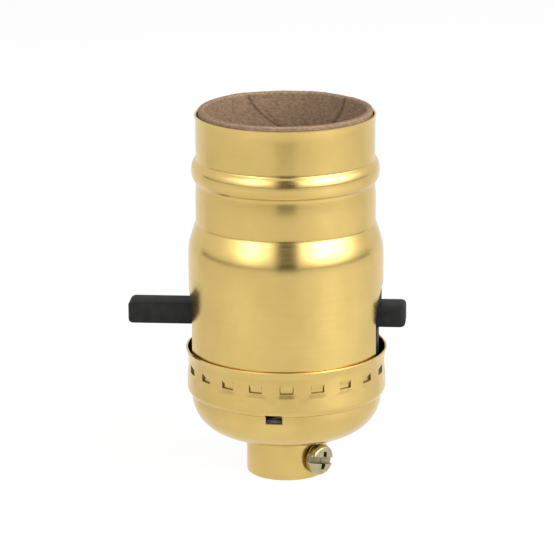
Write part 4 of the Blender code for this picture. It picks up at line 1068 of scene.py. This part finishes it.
def curved_sheet(radius, azimuths, elevations, grid_size):
    """A sheet bent round the object, with its width and height running from 0 to 1 as UV."""
    across, upward = grid_size
    mesh = bmesh.new()
    layer = mesh.loops.layers.uv.new("sheet")
    spots = {}
    grid = []
    for i in range(across + 1):
        u = i / across
        azimuth = azimuths[0] + (azimuths[1] - azimuths[0]) * u
        row = []
        for j in range(upward + 1):
            v = j / upward
            elevation = elevations[0] + (elevations[1] - elevations[0]) * v
            vert = mesh.verts.new(direction(azimuth, elevation) * radius)
            spots[vert] = (u, v)
            row.append(vert)
        grid.append(row)
    for row, following in zip(grid, grid[1:]):
        for j in range(upward):
            face = mesh.faces.new((row[j], row[j + 1], following[j + 1], following[j]))
            for loop in face.loops:
                loop[layer].uv = spots[loop.vert]
    return mesh


def floor_fan(radii, azimuths, grid_size):
    """A flat fan just above the floor, its turn and its reach running from 0 to 1 as UV."""
    mesh = curved_sheet(1.0, azimuths, radii, grid_size)
    layer = mesh.loops.layers.uv["sheet"]
    places = {loop.vert: loop[layer].uv.copy() for face in mesh.faces for loop in face.loops}
    for vert, (u, v) in places.items():
        reach = radii[0] + (radii[1] - radii[0]) * v
        spot = direction(azimuths[0] + (azimuths[1] - azimuths[0]) * u, 0) * reach
        vert.co = (spot.x, spot.y, HUB_FACE_Z - SHEEN_LIFT)
    return mesh


def glowing(name, mesh, across_stops, upward_stops, strength, base, *hidden_rays):
    """A glowing sheet, brightest where its two ramps are both high, and never dimmer than its base."""
    material = bpy.data.materials.new(name + "_glow")
    material.use_nodes = True
    nodes, links = material.node_tree.nodes, material.node_tree.links
    nodes.clear()
    output = nodes.new("ShaderNodeOutputMaterial")
    glow = nodes.new("ShaderNodeEmission")
    place = nodes.new("ShaderNodeTexCoord")
    split = nodes.new("ShaderNodeSeparateXYZ")
    links.new(place.outputs["UV"], split.inputs[0])
    product = nodes.new("ShaderNodeMath")
    product.operation = "MULTIPLY"
    for axis, stops, socket in zip("XY", (across_stops, upward_stops), product.inputs):
        node = ramp(material, split.outputs[axis], [(at, (value,)) for at, value in stops], socket)
        node.color_ramp.interpolation = "EASE"
    power = nodes.new("ShaderNodeMath")
    power.operation = "MULTIPLY_ADD"
    power.inputs[1].default_value = strength
    power.inputs[2].default_value = base
    links.new(product.outputs[0], power.inputs[0])
    links.new(power.outputs[0], glow.inputs["Strength"])
    links.new(glow.outputs[0], output.inputs["Surface"])
    sheet = make_object(name, mesh, material)
    hide_from(sheet, *hidden_rays)


def dark_card(name, radius, azimuths, elevations, grey):
    """A dark card that only reflections show."""
    material = new_material(name + "_matt", CARD_ROUGHNESS)
    shader_of(material).inputs["Base Color"].default_value = (grey, grey, grey, 1)
    shader_of(material).inputs["Specular IOR Level"].default_value = 0.0
    card = make_object(name, curved_sheet(radius, azimuths, elevations, CARD_GRID), material)
    hide_from(card, "camera", "diffuse", "transmission", "shadow")


def make_lights():
    glowing("tent_left", curved_sheet(TENT_RADIUS, LEFT_TENT_AZIMUTHS, TENT_ELEVATIONS, TENT_GRID),
            LEFT_TENT_ACROSS, TENT_RISE, LEFT_TENT_STRENGTH, TENT_BASE, "camera", "shadow")
    glowing("tent_right", curved_sheet(TENT_RADIUS, RIGHT_TENT_AZIMUTHS, TENT_ELEVATIONS, TENT_GRID),
            RIGHT_TENT_ACROSS, TENT_RISE, RIGHT_TENT_STRENGTH, TENT_BASE, "camera", "shadow")
    # The floor sheen is a painted reflection: a glow that lights nothing and shows only in reflections.
    glowing("floor_sheen", floor_fan(SHEEN_RADII, SHEEN_AZIMUTHS, SHEEN_GRID), SHEEN_ACROSS,
            SHEEN_OUTWARD, SHEEN_STRENGTH, SHEEN_BASE, "camera", "diffuse", "transmission", "shadow")
    dark_card("camera_column", COLUMN_RADIUS, COLUMN_AZIMUTHS, COLUMN_ELEVATIONS, COLUMN_GREY)
    dark_card("table_edge", EDGE_RADIUS, EDGE_AZIMUTHS, EDGE_ELEVATIONS, EDGE_GREY)


def make_camera():
    data = bpy.data.cameras.new("camera")
    data.sensor_width = SENSOR
    data.lens = FOCAL_PIXELS * data.sensor_width / PHOTO
    data.clip_start = CLIP_START
    camera = bpy.data.objects.new("camera", data)
    bpy.context.scene.collection.objects.link(camera)
    target = Vector((0, 0, up(AIM_HEIGHT)))
    way = direction(CAMERA_AZIMUTH, CAMERA_ELEVATION)
    camera.location = target + way * CAMERA_DISTANCE
    right = Vector((0, 0, 1)).cross(way).normalized()
    above = way.cross(right)
    scale = CAMERA_DISTANCE / FOCAL_PIXELS
    aim = (target - right * (AIM_PIXEL[0] - PHOTO / 2) * scale + above * (AIM_PIXEL[1] - PHOTO / 2) * scale)
    camera.rotation_euler = (camera.location - aim).to_track_quat("Z", "Y").to_euler()
    camera.rotation_euler.rotate_axis("Z", math.radians(CAMERA_ROLL))
    bpy.context.scene.camera = camera


make_camera()
make_shell()
make_cap()
make_hub()
make_set_screw()
make_liner()
make_push_bar()
make_slot_bosses()
make_screw_shell()
make_stage()
make_world()
make_lights()

bpy.context.scene.view_settings.view_transform = "Standard"
